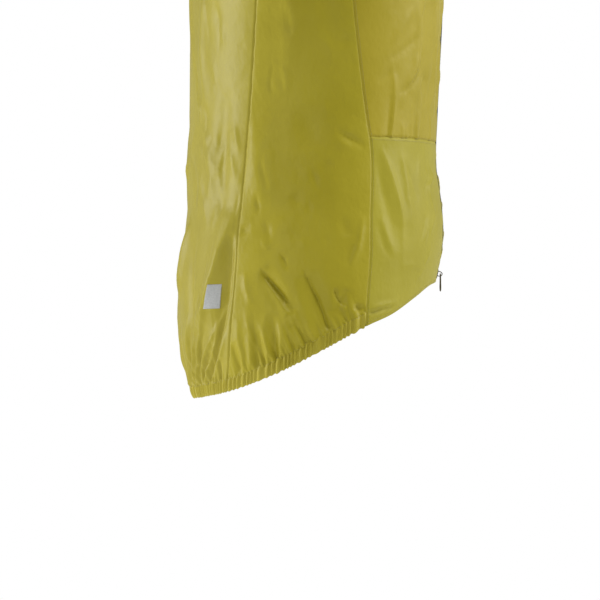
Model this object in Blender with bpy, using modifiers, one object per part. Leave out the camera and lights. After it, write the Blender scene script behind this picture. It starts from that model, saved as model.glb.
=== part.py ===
"""A lightweight windproof gilet, as worn: cloth panels, gathered hem casing, two-way zip.

Metres, +Z up. Front is -Y and the wearer's right side is -X. The origin is midway between the
points where the shoulder seams meet the neck, so the garment hangs below it.

Every panel is a piece of one hollow form. Its level rings are superellipses whose half width and
depths come from SECTIONS. A place on the form is a height and a turn: 0 degrees at the centre
front or back, and 90 degrees out at the side, where the shoulder seam also runs.
"""

from collections import namedtuple
from math import cos, pi, radians, sin

import bmesh
import bpy
import numpy as np
from mathutils import Matrix

# ---------------------------------------------------------------- driving sizes, metres
WALL = 0.0012  # shell cloth, with its seam allowances
SEAM_GAP = 0.0003  # left between two pieces that are sewn together
ROUNDNESS = 2.2  # exponent of the level rings: 2 is an ellipse

YOKE_SEAM_Z = -0.4665  # level seam across the fronts
CASING_HEIGHT = 0.0100  # elastic channel along the back and side hem
CASING_WALL = 0.0020
GATHER_HEIGHT = 0.0011  # how far a gather swings to each side
GATHERS_BACK = 56
GATHERS_SIDE = 25
STEPS_PER_GATHER = 4

ARMHOLE_Z = -0.150
ARMHOLE_HALF_WIDTH = 0.052  # along Y
ARMHOLE_HALF_HEIGHT = 0.093
BINDING_WIDTH = 0.008
BINDING_WALL = 0.0020

NECK_HALF_WIDTH = 0.078
NECK_FRONT_DEPTH = 0.085
NECK_BACK_DEPTH = 0.062
COLLAR_HEIGHT = 0.050  # at the centre back and front
COLLAR_SIDE_DIP = 0.005  # lower by this at the sides
COLLAR_LEAN = 0.004  # inwards at its top edge
COLLAR_WALL = 0.0016

ZIP_HALF_GAP = 0.0007  # from the centre line to a tape's inner edge
ZIP_TAPE_EDGE = 0.0070  # from the centre line to a tape's outer edge
ZIP_TAPE_WALL = 0.0010
FRONT_EDGE = 0.0045  # from the centre line to a front panel's edge
SLIDER_LENGTH = 0.0100
SLIDER_LOWER_Z = -0.5968
SLIDER_BELOW_TOP = 0.0055  # the upper slider's centre, below the collar's edge
PULL_LENGTH = 0.0173
PULL_WIDTH = 0.0050
PULL_THICKNESS = 0.0016

# ---------------------------------------------------------------- tables, a row for each section
Section = namedtuple("Section", "z half_width front_depth back_depth")
SECTIONS = [
    Section(0.000, 0.078, 0.0400, 0.0580),  # neck points
    Section(-0.020, 0.122, 0.0500, 0.0690),
    Section(-0.035, 0.154, 0.0590, 0.0775),
    Section(-0.049, 0.181, 0.0690, 0.0855),  # shoulder tips
    Section(-0.065, 0.195, 0.0795, 0.0935),
    Section(-0.085, 0.202, 0.0905, 0.1020),
    Section(-0.120, 0.205, 0.1060, 0.1125),
    Section(-0.170, 0.202, 0.1180, 0.1210),
    Section(-0.250, 0.193, 0.1265, 0.1255),  # armpits
    Section(-0.320, 0.183, 0.1275, 0.1250),
    Section(-0.400, 0.169, 0.1240, 0.1250),
    Section(-0.441, 0.165, 0.1220, 0.1255),
    Section(-0.489, 0.164, 0.1210, 0.1280),  # waist
    Section(-0.521, 0.166, 0.1255, 0.1280),
    Section(-0.553, 0.169, 0.1280, 0.1295),
    Section(-0.577, 0.172, 0.1260, 0.1330),
    Section(-0.605, 0.175, 0.1200, 0.1375),  # front hem
    Section(-0.640, 0.177, 0.1120, 0.1380),
    Section(-0.673, 0.176, 0.1050, 0.1350),
    Section(-0.697, 0.173, 0.1010, 0.1290),
    Section(-0.720, 0.169, 0.0980, 0.1230),  # back hem
]

HemPoint = namedtuple("HemPoint", "y z")
HEM = [  # seen from the side, centre front to centre back
    HemPoint(-0.1200, -0.6050),
    HemPoint(-0.1140, -0.6075),
    HemPoint(-0.0985, -0.6190),
    HemPoint(-0.0750, -0.6355),
    HemPoint(-0.0500, -0.6470),
    HemPoint(-0.0060, -0.6705),
    HemPoint(0.0390, -0.6932),
    HemPoint(0.0850, -0.7108),
    HemPoint(0.1230, -0.7200),
]

SeamPoint = namedtuple("SeamPoint", "z y")
FRONT_SEAM_TOP_Y = -0.028
BACK_SEAM_TOP_Y = 0.047
FRONT_SEAM = [  # between side panel and fronts, below the armhole
    SeamPoint(-0.3000, -0.0325),
    SeamPoint(-0.3800, -0.0405),
    SeamPoint(-0.4509, -0.0495),
    SeamPoint(-0.4677, -0.0522),
    SeamPoint(-0.5465, -0.0529),
    SeamPoint(-0.5876, -0.0522),
    SeamPoint(-0.6106, -0.0504),
    SeamPoint(-0.6479, -0.0484),
]
BACK_SEAM = [  # between side panel and back
    SeamPoint(-0.3200, 0.0555),
    SeamPoint(-0.4504, 0.0642),
    SeamPoint(-0.5255, 0.0709),
    SeamPoint(-0.5609, 0.0748),
    SeamPoint(-0.6010, 0.0771),
    SeamPoint(-0.6526, 0.0819),
    SeamPoint(-0.7106, 0.0850),
]

# The largest folds. A path is a row of (y, z) points on the panel, height is out (+) or in (-),
# and side is -1 for the wearer's right, +1 for the left.
Fold = namedtuple("Fold", "side path width height")
BACK_FOLDS = [
    Fold(-1, ((0.0800, -0.459), (0.0790, -0.500), (0.0850, -0.545), (0.0950, -0.580), (0.1080, -0.623),
              (0.1160, -0.645)), 0.013, 0.0045),
    Fold(-1, ((0.0800, -0.560), (0.0845, -0.604), (0.0935, -0.642), (0.1055, -0.691)), 0.008, -0.0045),
    Fold(-1, ((0.1180, -0.560), (0.1240, -0.610), (0.1200, -0.670)), 0.011, -0.0030),
    Fold(1, ((0.0820, -0.470), (0.0830, -0.520), (0.0930, -0.575), (0.1060, -0.625), (0.1150, -0.655)),
         0.013, 0.0040),
    Fold(1, ((0.0830, -0.575), (0.0900, -0.620), (0.0990, -0.655), (0.1070, -0.695)), 0.009, -0.0040),
    Fold(1, ((0.1200, -0.550), (0.1240, -0.600), (0.1210, -0.660)), 0.012, -0.0028),
]
SIDE_FOLDS = [
    Fold(-1, ((0.0510, -0.594), (0.0360, -0.618), (0.0220, -0.637)), 0.008, -0.0025),
    Fold(-1, ((0.0100, -0.598), (-0.0040, -0.630), (-0.0130, -0.651)), 0.009, -0.0025),
    Fold(-1, ((0.0560, -0.450), (0.0500, -0.530)), 0.014, 0.0020),
    Fold(1, ((0.0480, -0.600), (0.0340, -0.628), (0.0250, -0.645)), 0.009, -0.0025),
    Fold(1, ((0.0050, -0.590), (-0.0050, -0.615), (-0.0100, -0.640)), 0.009, -0.0022),
    Fold(1, ((0.0540, -0.470), (0.0480, -0.540)), 0.014, 0.0020),
]
FRONT_FOLDS = [
    Fold(-1, ((-0.0640, -0.480), (-0.0780, -0.525), (-0.0830, -0.552)), 0.009, 0.0022),
    Fold(-1, ((-0.0850, -0.482), (-0.0880, -0.520), (-0.0940, -0.560)), 0.008, 0.0018),
    Fold(1, ((-0.0650, -0.482), (-0.0760, -0.520), (-0.0820, -0.545)), 0.009, 0.0022),
    Fold(1, ((-0.0880, -0.484), (-0.0900, -0.530), (-0.0950, -0.565)), 0.008, 0.0018),
]


# ---------------------------------------------------------------- the hollow form
def smooth(rows, key, value, at):
    """Cubic curve through a table: column `value` read at places `at` of column `key`."""
    order = sorted(rows, key=lambda row: getattr(row, key))
    x = np.array([getattr(row, key) for row in order])
    y = np.array([getattr(row, value) for row in order])
    slope = np.gradient(y, x)
    at = np.clip(at, x[0], x[-1])
    i = np.clip(np.searchsorted(x, at) - 1, 0, len(x) - 2)
    span = x[i + 1] - x[i]
    f = (at - x[i]) / span
    start = y[i] * (1 + 2 * f) * (1 - f) ** 2 + span * slope[i] * f * (1 - f) ** 2
    end = y[i + 1] * f * f * (3 - 2 * f) + span * slope[i + 1] * f * f * (f - 1)
    return start + end


def depth(z, facing):
    """Depth of the ring at height z, to the front (facing -1) or to the back (+1)."""
    return smooth(SECTIONS, "z", "front_depth" if facing < 0 else "back_depth", z)


def on_ring(turn, z, facing):
    """Point of the form at a height and a signed turn in radians from the centre line."""
    turn, z = np.broadcast_arrays(turn, z)
    across = smooth(SECTIONS, "z", "half_width", z) * np.abs(np.sin(turn)) ** (2 / ROUNDNESS)
    ahead = depth(z, facing) * np.abs(np.cos(turn)) ** (2 / ROUNDNESS)
    return np.stack([np.sign(turn) * across, facing * ahead, z], axis=-1)


def turn_at(y, z, facing):
    """Turn, unsigned, at which the ring at height z reaches depth y."""
    ratio = np.clip(np.abs(y) / depth(z, facing), 0.0, 1.0)
    return np.arccos(ratio ** (ROUNDNESS / 2))


def on_side(y, z, side):
    """Point of the form seen from the side at (y, z); side -1 is the wearer's right."""
    y, z = np.broadcast_arrays(y, z)
    span = np.where(y < 0, depth(z, -1), depth(z, 1))
    width = smooth(SECTIONS, "z", "half_width", z)
    x = width * np.clip(1 - np.abs(y / span) ** ROUNDNESS, 0.0, 1.0) ** (1 / ROUNDNESS)
    return np.stack([side * x, y, z], axis=-1)


def neck_height(x, y):
    """Height at which the form passes over the plan point (x, y), by halving an interval."""
    low = np.full(np.shape(x), -0.12)
    high = np.zeros(np.shape(x))
    for _ in range(40):
        middle = (low + high) / 2
        span = np.where(y < 0, depth(middle, -1), depth(middle, 1))
        width = smooth(SECTIONS, "z", "half_width", middle)
        outside = (np.abs(x) / width) ** ROUNDNESS + (np.abs(y) / span) ** ROUNDNESS > 1
        high = np.where(outside, middle, high)
        low = np.where(outside, low, middle)
    return (low + high) / 2


def neck_plan(angle):
    """Neckline seen from above, and its height: angle 0 is the centre back, pi the centre front."""
    reach = np.where(np.cos(angle) < 0, NECK_FRONT_DEPTH, NECK_BACK_DEPTH)
    x = NECK_HALF_WIDTH * np.sin(angle)
    y = reach * np.cos(angle)
    return x, y, neck_height(x, y)


def neck_at_turn(turn, facing):
    """Angle seen from above, and height, of the neckline at an unsigned turn round the form."""
    angle = np.linspace(0.0, pi / 2, 181) if facing > 0 else np.linspace(pi, pi / 2, 181)
    _, y, z = neck_plan(angle)
    turns = turn_at(y, z, facing)
    return np.interp(turn, turns, angle), np.interp(turn, turns, z)


NECK_FRONT_Z = float(neck_height(0.0, -NECK_FRONT_DEPTH))


def armhole_y(z, margin):
    """Half width of the armhole, widened by a margin, at height z."""
    rise = np.clip((z - ARMHOLE_Z) / (ARMHOLE_HALF_HEIGHT + margin), -1.0, 1.0)
    return (ARMHOLE_HALF_WIDTH + margin) * np.sqrt(1 - rise * rise)


def armhole_bottom_z(y, margin):
    """Height of the armhole's lower edge, widened by a margin, at depth y."""
    reach = np.clip(y / (ARMHOLE_HALF_WIDTH + margin), -1.0, 1.0)
    return ARMHOLE_Z - (ARMHOLE_HALF_HEIGHT + margin) * np.sqrt(1 - reach * reach)


PANEL_MARGIN = BINDING_WIDTH + SEAM_GAP  # from the armhole's finished edge to the panels
SHOULDER_TIP_Z = ARMHOLE_Z + ARMHOLE_HALF_HEIGHT + PANEL_MARGIN
for seam, top_y in ((FRONT_SEAM, FRONT_SEAM_TOP_Y), (BACK_SEAM, BACK_SEAM_TOP_Y)):
    seam.append(SeamPoint(float(armhole_bottom_z(top_y, PANEL_MARGIN)), top_y))

# Panels and binding share their corners round the armhole. Its angle is 0 towards the back and
# a quarter turn at the shoulder tip, so the front seam is past a half turn.
FRONT_CORNER = pi + float(np.arccos(-FRONT_SEAM_TOP_Y / (ARMHOLE_HALF_WIDTH + PANEL_MARGIN)))
BACK_CORNER = -float(np.arccos(BACK_SEAM_TOP_Y / (ARMHOLE_HALF_WIDTH + PANEL_MARGIN)))
FRONT_ARMHOLE_STEPS = 9
BACK_ARMHOLE_STEPS = 8


def armhole_heights(corner, steps):
    """Heights of the panels' rows along the armhole, from the side seam up to the shoulder tip."""
    angle = np.linspace(corner, pi / 2, steps + 1)
    return ARMHOLE_Z + (ARMHOLE_HALF_HEIGHT + PANEL_MARGIN) * np.sin(angle)


def seam_y(z, facing):
    """Depth of the seam along the side panel's front (facing -1) or back (+1) edge."""
    return smooth(FRONT_SEAM if facing < 0 else BACK_SEAM, "z", "y", z)


def hem_z(y):
    """Height of the garment's lower edge seen from the side."""
    return smooth(HEM, "y", "z", y)


def casing_top_z(y):
    """Height of the casing's upper edge: the hem moved up, square to its slope."""
    step = 0.002
    slope = (hem_z(y + step) - hem_z(y - step)) / (2 * step)
    return hem_z(y) + CASING_HEIGHT * np.sqrt(1 + slope * slope)


HEM_GUESS_Z, ARMHOLE_GUESS_Z = -0.68, -0.24  # where the searches for an edge start
SEARCH_STEPS = 12  # each step brings them about ten times closer


def line_at_turn(line, turn, facing):
    """Height at which an edge given as line(y) crosses an unsigned turn of the form."""
    z = np.full(np.shape(turn), HEM_GUESS_Z)
    for _ in range(SEARCH_STEPS):
        z = line(facing * depth(z, facing) * np.abs(np.cos(turn)) ** (2 / ROUNDNESS))
    return z


def spread_turn(s, start, edge, opening):
    """Turns from start to edge whose columns fan out as on a ring seen over an opening angle."""
    share = np.sin(s * opening) / np.sin(opening)
    return np.arcsin(np.clip(np.sin(start) + (np.sin(edge) - np.sin(start)) * share, 0.0, 1.0))


def column_opening(edge_z):
    """Opening angle of a row's columns: a quarter turn once the row ends at the shoulder."""
    low, high = radians(60), pi / 2
    rise = np.clip((edge_z - ARMHOLE_Z) / (SHOULDER_TIP_Z - ARMHOLE_Z), 0.0, 1.0)
    return low + (high - low) * rise


def outer_turn(z, facing):
    """Turn of a front's or back's outer edge: seam, then armhole, then shoulder seam."""
    top = (FRONT_SEAM if facing < 0 else BACK_SEAM)[-1].z
    edge = np.where(z < top, np.abs(seam_y(z, facing)), armhole_y(z, PANEL_MARGIN))
    edge = np.where(z > SHOULDER_TIP_Z, 0.0, edge) + SEAM_GAP / 2
    return turn_at(edge, z, facing)


# ---------------------------------------------------------------- folds
def nearest_on_path(points, path):
    """Distance from each point to a polyline, and how far along the line (0 to 1) it lies."""
    lengths = np.linalg.norm(np.diff(path, axis=0), axis=1)
    before = np.concatenate([[0.0], np.cumsum(lengths)])
    best = np.full(len(points), np.inf)
    along = np.zeros(len(points))
    for i, length in enumerate(lengths):
        step = (path[i + 1] - path[i]) / length
        reach = np.clip((points - path[i]) @ step, 0.0, length)
        gap = np.linalg.norm(points - path[i] - reach[:, None] * step, axis=1)
        closer = gap < best
        best[closer] = gap[closer]
        along[closer] = (before[i] + reach[closer]) / before[-1]
    return best, along


def fold_relief(points, folds):
    """Height of the folds: a bell across each fold's path, dying away at both ends."""
    relief = np.zeros(len(points))
    for fold in folds:
        y, z = np.array(fold.path).T
        path = on_side(y, z, fold.side)
        gap, along = nearest_on_path(points, path)
        relief += fold.height * np.exp(-((gap / fold.width) ** 2)) * np.sin(pi * along) ** 0.5
    return relief


def with_folds(surface, folds, edge_fade):
    """A surface moved along its outward normal by its folds, which fade out at the seams."""
    def folded(s, t):
        step = 1e-3
        base = surface(s, t)
        along_s = surface(np.minimum(s + step, 1), t) - surface(np.maximum(s - step, 0), t)
        along_t = surface(s, np.minimum(t + step, 1)) - surface(s, np.maximum(t - step, 0))
        normal = np.cross(along_s, along_t)
        normal /= np.linalg.norm(normal, axis=1)[:, None]
        outward = np.sign(np.sum(normal[:, :2] * base[:, :2], axis=1))[:, None]
        return base + normal * outward * (fold_relief(base, folds) * edge_fade(s, t))[:, None]
    return folded


# ---------------------------------------------------------------- Blender helpers
def material(name, colour, roughness, metallic=0.0):
    made = bpy.data.materials.new(name)
    made.use_nodes = True
    shader = made.node_tree.nodes["Principled BSDF"]
    shader.inputs["Base Color"].default_value = (*colour, 1.0)
    shader.inputs["Roughness"].default_value = roughness
    shader.inputs["Metallic"].default_value = metallic
    return made


def add_object(name, mesh, look):
    made = bpy.data.objects.new(name, mesh)
    mesh.materials.append(look)
    garment.objects.link(made)
    return made


def add_solidify(made, thickness, offset=-1.0):
    wall = made.modifiers.new("wall", "SOLIDIFY")
    wall.thickness = thickness
    wall.offset = offset
    wall.use_even_offset = True


def cloth_piece(name, surface, columns, rows, look, thickness=WALL):
    """A grid laid on surface(s, t), both from 0 to 1, faced outwards and given its wall."""
    bm = bmesh.new()
    bmesh.ops.create_grid(bm, x_segments=columns, y_segments=rows, size=0.5)
    mesh = bpy.data.meshes.new(name)
    bm.to_mesh(mesh)
    bm.free()
    flat = np.empty(3 * len(mesh.vertices))
    mesh.vertices.foreach_get("co", flat)
    s, t = np.round(flat[0::3] + 0.5, 6), np.round(flat[1::3] + 0.5, 6)
    points = surface(s, t)
    mesh.vertices.foreach_set("co", points.ravel())
    mesh.update()
    facing_out = sum(f.normal.xy.dot(f.center.xy) * f.area for f in mesh.polygons)
    if facing_out < 0:
        mesh.flip_normals()
    mesh.shade_smooth()
    made = add_object(name, mesh, look)
    add_solidify(made, thickness)
    return made


def loft(name, rings, look, closed):
    """A solid through equal rings of points; closed joins the last ring to the first."""
    count, sides = rings.shape[:2]
    bm = bmesh.new()
    verts = [[bm.verts.new(point) for point in ring] for ring in rings]
    for i in range(count if closed else count - 1):
        here, there = verts[i], verts[(i + 1) % count]
        for j in range(sides):
            k = (j + 1) % sides
            bm.faces.new((here[j], here[k], there[k], there[j]))
    if not closed:
        bm.faces.new(verts[0])
        bm.faces.new(verts[-1])
    bmesh.ops.recalc_face_normals(bm, faces=bm.faces)
    mesh = bpy.data.meshes.new(name)
    bm.to_mesh(mesh)
    bm.free()
    return add_object(name, mesh, look)


def unit(vectors):
    return vectors / np.linalg.norm(vectors, axis=-1, keepdims=True)


# ---------------------------------------------------------------- rows shared along the seams
def height_steps(heights):
    """Maps even grid rows to shares of the height, so that the outer edge's rows lie at heights."""
    rows_at = np.linspace(0.0, 1.0, len(heights))
    shares = (heights - heights[0]) / (heights[-1] - heights[0])
    return lambda t: np.interp(t, rows_at, shares)


BACK_LOW_Z = float(casing_top_z(BACK_SEAM[-2].y))
BACK_FOLDS_TOP_Z = -0.441  # the rows lie closer together below it
PATCH_LOW_Z, PATCH_HIGH_Z = -0.629, -0.605  # the reflective tab, measured at the back seam
BACK_HEIGHTS = np.concatenate([
    np.linspace(BACK_LOW_Z, PATCH_LOW_Z, 4),
    np.linspace(PATCH_LOW_Z, PATCH_HIGH_Z, 3)[1:],
    np.linspace(PATCH_HIGH_Z, BACK_FOLDS_TOP_Z, 8)[1:],
    np.linspace(BACK_FOLDS_TOP_Z, BACK_SEAM[-1].z, 4)[1:],
    armhole_heights(BACK_CORNER, BACK_ARMHOLE_STEPS)[1:],
    np.linspace(SHOULDER_TIP_Z, 0.0, 5)[1:],
])
FRONT_HEM_Z = float(hem_z(FRONT_SEAM[-2].y))
LOWER_HEIGHTS = np.linspace(FRONT_HEM_Z, YOKE_SEAM_Z, 11)
UPPER_HEIGHTS = np.concatenate([
    np.linspace(YOKE_SEAM_Z, FRONT_SEAM[-1].z, 6),
    armhole_heights(FRONT_CORNER, FRONT_ARMHOLE_STEPS)[1:],
    np.linspace(SHOULDER_TIP_Z, 0.0, 5)[1:],
])
# A side panel's rows start on the fronts' rows and end on the back's.
SIDE_FRONT_HEIGHTS = np.concatenate([
    [float(casing_top_z(FRONT_SEAM[-2].y))], LOWER_HEIGHTS[1:], UPPER_HEIGHTS[1:6]])
SIDE_BACK_HEIGHTS = BACK_HEIGHTS[:len(SIDE_FRONT_HEIGHTS)]


# ---------------------------------------------------------------- back
BACK_COLUMNS = 40
BACK_ROWS = len(BACK_HEIGHTS) - 1
BACK_STEPS = height_steps(BACK_HEIGHTS)


def back_surface(s, t):
    """Back panel: s runs from the wearer's right to left, t from the casing to the neck."""
    across = np.abs(2 * s - 1)
    share = BACK_STEPS(t)
    edge_z = BACK_LOW_Z * (1 - share)
    low_turn = spread_turn(across, 0.0, outer_turn(BACK_LOW_Z, 1), column_opening(BACK_LOW_Z))
    low = line_at_turn(casing_top_z, low_turn, 1) + SEAM_GAP / 2
    high = neck_at_turn(across * pi / 2, 1)[1] - SEAM_GAP / 2
    turn = spread_turn(across, 0.0, outer_turn(edge_z, 1), column_opening(edge_z))
    return on_ring(np.sign(s - 0.5) * turn, low + (high - low) * share, 1)


BACK_FADE_SHARE = 0.16  # of the panel's half width
BACK_HEM_SHARE = 0.03  # of its height, over which the folds shrink to BACK_HEM_LEAST
BACK_HEM_LEAST = 0.35
FADE_SHARE = 0.12  # of the width of a side or front panel


def ease(share):
    """0 to 1, level at both ends."""
    share = np.clip(share, 0.0, 1.0)
    return share * share * (3 - 2 * share)


def back_fade(s, t):
    hem = np.clip(t / BACK_HEM_SHARE, BACK_HEM_LEAST, 1.0)
    return ease((1 - np.abs(2 * s - 1)) / BACK_FADE_SHARE) * hem


def make_back():
    folded = with_folds(back_surface, BACK_FOLDS, back_fade)
    return cloth_piece("back_panel", folded, BACK_COLUMNS, BACK_ROWS, shell_cloth)


# ---------------------------------------------------------------- sides
SIDE_COLUMNS = 14
SIDE_ROWS = len(SIDE_FRONT_HEIGHTS) - 1
SIDE_FRONT_STEPS = height_steps(SIDE_FRONT_HEIGHTS)
SIDE_BACK_STEPS = height_steps(SIDE_BACK_HEIGHTS)


def side_surface(side):
    """Side panel: s from the front seam to the back seam, t from the casing to the armhole."""
    def across_seams(s, z):
        front = seam_y(z, -1) + SEAM_GAP / 2
        back = seam_y(z, 1) - SEAM_GAP / 2
        return front + (back - front) * s

    def surface(s, t):
        low = np.full(np.shape(s), HEM_GUESS_Z)
        high = np.full(np.shape(s), ARMHOLE_GUESS_Z)
        for _ in range(SEARCH_STEPS):
            low = casing_top_z(across_seams(s, low)) + SEAM_GAP / 2
            high = armhole_bottom_z(across_seams(s, high), PANEL_MARGIN)
        share = SIDE_FRONT_STEPS(t) + (SIDE_BACK_STEPS(t) - SIDE_FRONT_STEPS(t)) * s
        z = low + (high - low) * share
        return on_side(across_seams(s, z), z, side)
    return surface


def side_fade(s, t):
    return ease(np.minimum(s, 1 - s) / FADE_SHARE)


def make_sides():
    for label, side in SIDES:
        folds = [fold for fold in SIDE_FOLDS if fold.side == side]
        folded = with_folds(side_surface(side), folds, side_fade)
        cloth_piece(f"side_panel_{label}", folded, SIDE_COLUMNS, SIDE_ROWS, shell_cloth)


# ---------------------------------------------------------------- fronts
LOWER_COLUMNS = 9
UPPER_COLUMNS = 12
COLUMN_SPREAD = 1.3  # the upper fronts' columns lie closer together towards the zip
LOWER_ROWS = len(LOWER_HEIGHTS) - 1
UPPER_ROWS = len(UPPER_HEIGHTS) - 1
UPPER_STEPS = height_steps(UPPER_HEIGHTS)


def centre_turn(z):
    """Turn at which the form is FRONT_EDGE away from the centre front line."""
    width = smooth(SECTIONS, "z", "half_width", z)
    return np.arcsin((FRONT_EDGE / width) ** (ROUNDNESS / 2))


def lower_front_surface(side):
    """Lower front: s from the zip to the front seam, t from the hem to the level seam."""
    def surface(s, t):
        inner = centre_turn(HEM[0].z)
        hem_turn = inner + (outer_turn(FRONT_HEM_Z, -1) - inner) * s
        low = line_at_turn(hem_z, hem_turn, -1)
        z = low + (YOKE_SEAM_Z - SEAM_GAP / 2 - low) * t
        turn = centre_turn(z) + (outer_turn(z, -1) - centre_turn(z)) * s
        return on_ring(side * turn, z, -1)
    return surface


def upper_front_surface(side):
    """Upper front: s from the zip to the outer edge, t from the level seam to the neck."""
    def surface(s, t):
        s = s ** COLUMN_SPREAD
        share = UPPER_STEPS(t)
        low = YOKE_SEAM_Z + SEAM_GAP / 2
        neck_turn = spread_turn(s, centre_turn(NECK_FRONT_Z), pi / 2, pi / 2)
        high = neck_at_turn(neck_turn, -1)[1] - SEAM_GAP / 2
        z = low + (high - low) * share
        edge_z = low * (1 - share)
        turn = spread_turn(s, centre_turn(z), outer_turn(edge_z, -1), column_opening(edge_z))
        return on_ring(side * turn, z, -1)
    return surface


def front_fade(s, t):
    below_seam = np.clip((1 - t) / (FADE_SHARE / 2), 0.0, 1.0)
    return ease(np.clip(np.minimum(s, 1 - s) / FADE_SHARE, 0.0, 1.0) * below_seam)


def make_fronts():
    for label, side in SIDES:
        folds = [fold for fold in FRONT_FOLDS if fold.side == side]
        lower = with_folds(lower_front_surface(side), folds, front_fade)
        cloth_piece(f"front_lower_{label}", lower, LOWER_COLUMNS, LOWER_ROWS, shell_cloth)
        upper = upper_front_surface(side)
        cloth_piece(f"front_upper_{label}", upper, UPPER_COLUMNS, UPPER_ROWS, shell_cloth)


# ---------------------------------------------------------------- gathered hem casing
def casing_rings(top, bottom, gathers):
    """Four-cornered sections along the hem that swing in and out, once for each gather."""
    stations = np.linspace(0.0, 1.0, gathers * STEPS_PER_GATHER + 1)
    high, low = top(stations), bottom(stations)
    along = np.gradient(low, axis=0)
    outward = unit(np.cross(along, high - low))
    outward *= np.sign(np.sum(outward[:, :2] * low[:, :2], axis=1))[:, None]
    swing = GATHER_HEIGHT * np.cos(2 * pi * gathers * stations)[:, None] * outward
    half = CASING_WALL / 2 * outward
    return np.stack([high + half + 0.5 * swing, low + half + swing,
                     low - half + swing, high - half + 0.5 * swing], axis=1)


def make_casing():
    def back_line(line, shift, edge_z):
        edge_turn = outer_turn(edge_z, 1)

        def at(u):
            turn = (2 * u - 1) * edge_turn
            return on_ring(turn, line_at_turn(line, np.abs(turn), 1) + shift, 1)
        return at

    top = back_line(casing_top_z, -SEAM_GAP / 2, BACK_LOW_Z)
    bottom = back_line(hem_z, 0.0, BACK_SEAM[-2].z)
    loft("hem_casing_back", casing_rings(top, bottom, GATHERS_BACK), elastic_cloth, closed=False)

    def side_line(line, shift, side):
        def at(u):
            front = FRONT_SEAM[-2].y
            back = BACK_SEAM[-2].y
            for _ in range(SEARCH_STEPS):
                front = seam_y(line(front), -1) + SEAM_GAP / 2
                back = seam_y(line(back), 1) - SEAM_GAP / 2
            y = front + (back - front) * u
            return on_side(y, line(y) + shift, side)
        return at

    for label, side in SIDES:
        top = side_line(casing_top_z, -SEAM_GAP / 2, side)
        bottom = side_line(hem_z, 0.0, side)
        rings = casing_rings(top, bottom, GATHERS_SIDE)
        loft(f"hem_casing_side_{label}", rings, elastic_cloth, closed=False)


# ---------------------------------------------------------------- armhole bindings
def make_bindings():
    side_y = np.linspace(FRONT_SEAM_TOP_Y, BACK_SEAM_TOP_Y, SIDE_COLUMNS + 1)
    angle = np.concatenate([
        np.linspace(BACK_CORNER, pi / 2, BACK_ARMHOLE_STEPS + 1)[:-1],
        np.linspace(pi / 2, FRONT_CORNER, FRONT_ARMHOLE_STEPS + 1)[:-1],
        2 * pi - np.arccos(side_y / (ARMHOLE_HALF_WIDTH + PANEL_MARGIN))[:-1],
    ])

    def edge(margin, side):
        y = (ARMHOLE_HALF_WIDTH + margin) * np.cos(angle)
        z = ARMHOLE_Z + (ARMHOLE_HALF_HEIGHT + margin) * np.sin(angle)
        return on_side(y, z, side)

    for label, side in SIDES:
        outer, inner = edge(BINDING_WIDTH, side), edge(0.0, side)
        along = np.roll(outer, -1, axis=0) - np.roll(outer, 1, axis=0)
        outward = unit(np.cross(along, outer - inner))
        outward *= np.sign(outward[:, :1]) * side
        half = BINDING_WALL / 2 * outward
        rings = np.stack([outer - 2 * half, outer, inner, inner - 2 * half], axis=1)
        loft(f"armhole_binding_{label}", rings, elastic_cloth, closed=True)


# ---------------------------------------------------------------- collar
COLLAR_ROWS = 3
COLLAR_COLUMNS = 2 * UPPER_COLUMNS + BACK_COLUMNS  # its columns meet the panels' columns


def collar_angle(s):
    """Angle round the neck: the fronts' columns, then the back's, then the fronts' again."""
    column = s * COLLAR_COLUMNS
    from_front = np.clip(np.minimum(column, COLLAR_COLUMNS - column) / UPPER_COLUMNS, 0.0, 1.0)
    front_turn = spread_turn(from_front ** COLUMN_SPREAD, centre_turn(NECK_FRONT_Z), pi / 2, pi / 2)
    back_turn = np.abs(2 * (column - UPPER_COLUMNS) / BACK_COLUMNS - 1) * pi / 2
    angle = np.where(from_front < 1, neck_at_turn(front_turn, -1)[0], neck_at_turn(back_turn, 1)[0])
    return angle * np.sign(s - 0.5)


def collar_surface(s, t):
    """Stand collar: s from the right front edge round the back to the left, t upwards."""
    angle = collar_angle(s)
    x, y, z = neck_plan(angle)
    height = COLLAR_HEIGHT - COLLAR_SIDE_DIP * np.sin(angle) ** 2
    lean = COLLAR_LEAN * t
    return np.stack([x - lean * np.sin(angle), y - lean * np.cos(angle),
                     z + SEAM_GAP / 2 + height * t], axis=-1)


def make_collar():
    return cloth_piece("collar", collar_surface, COLLAR_COLUMNS, COLLAR_ROWS, shell_cloth, COLLAR_WALL)


# ---------------------------------------------------------------- zip
TAPE_SINK = COLLAR_WALL + 0.0005  # the tapes lie under the panels' edges
ZIP_LOW_Z = -0.6040
ZIP_HIGH_Z = NECK_FRONT_Z + COLLAR_HEIGHT
TAPE_HEIGHTS = np.concatenate([  # bends where the fronts and the collar bend
    np.linspace(ZIP_LOW_Z, YOKE_SEAM_Z, 9),
    YOKE_SEAM_Z + (NECK_FRONT_Z - YOKE_SEAM_Z) * UPPER_STEPS(np.linspace(0, 1, UPPER_ROWS + 1))[1:],
    np.linspace(NECK_FRONT_Z, ZIP_HIGH_Z, COLLAR_ROWS + 1)[1:],
])


def centre_front(z, x=0.0):
    """Depth of the garment's outer face on or near the centre front, collar included."""
    width = smooth(SECTIONS, "z", "half_width", z)
    body = -depth(z, -1) * (1 - np.abs(x / width) ** ROUNDNESS) ** (1 / ROUNDNESS)
    share = np.clip((z - NECK_FRONT_Z) / COLLAR_HEIGHT, 0.0, 1.0)
    collar = -NECK_FRONT_DEPTH * np.sqrt(1 - (x / NECK_HALF_WIDTH) ** 2) + COLLAR_LEAN * share
    return np.where(z < NECK_FRONT_Z, body, collar)


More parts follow.
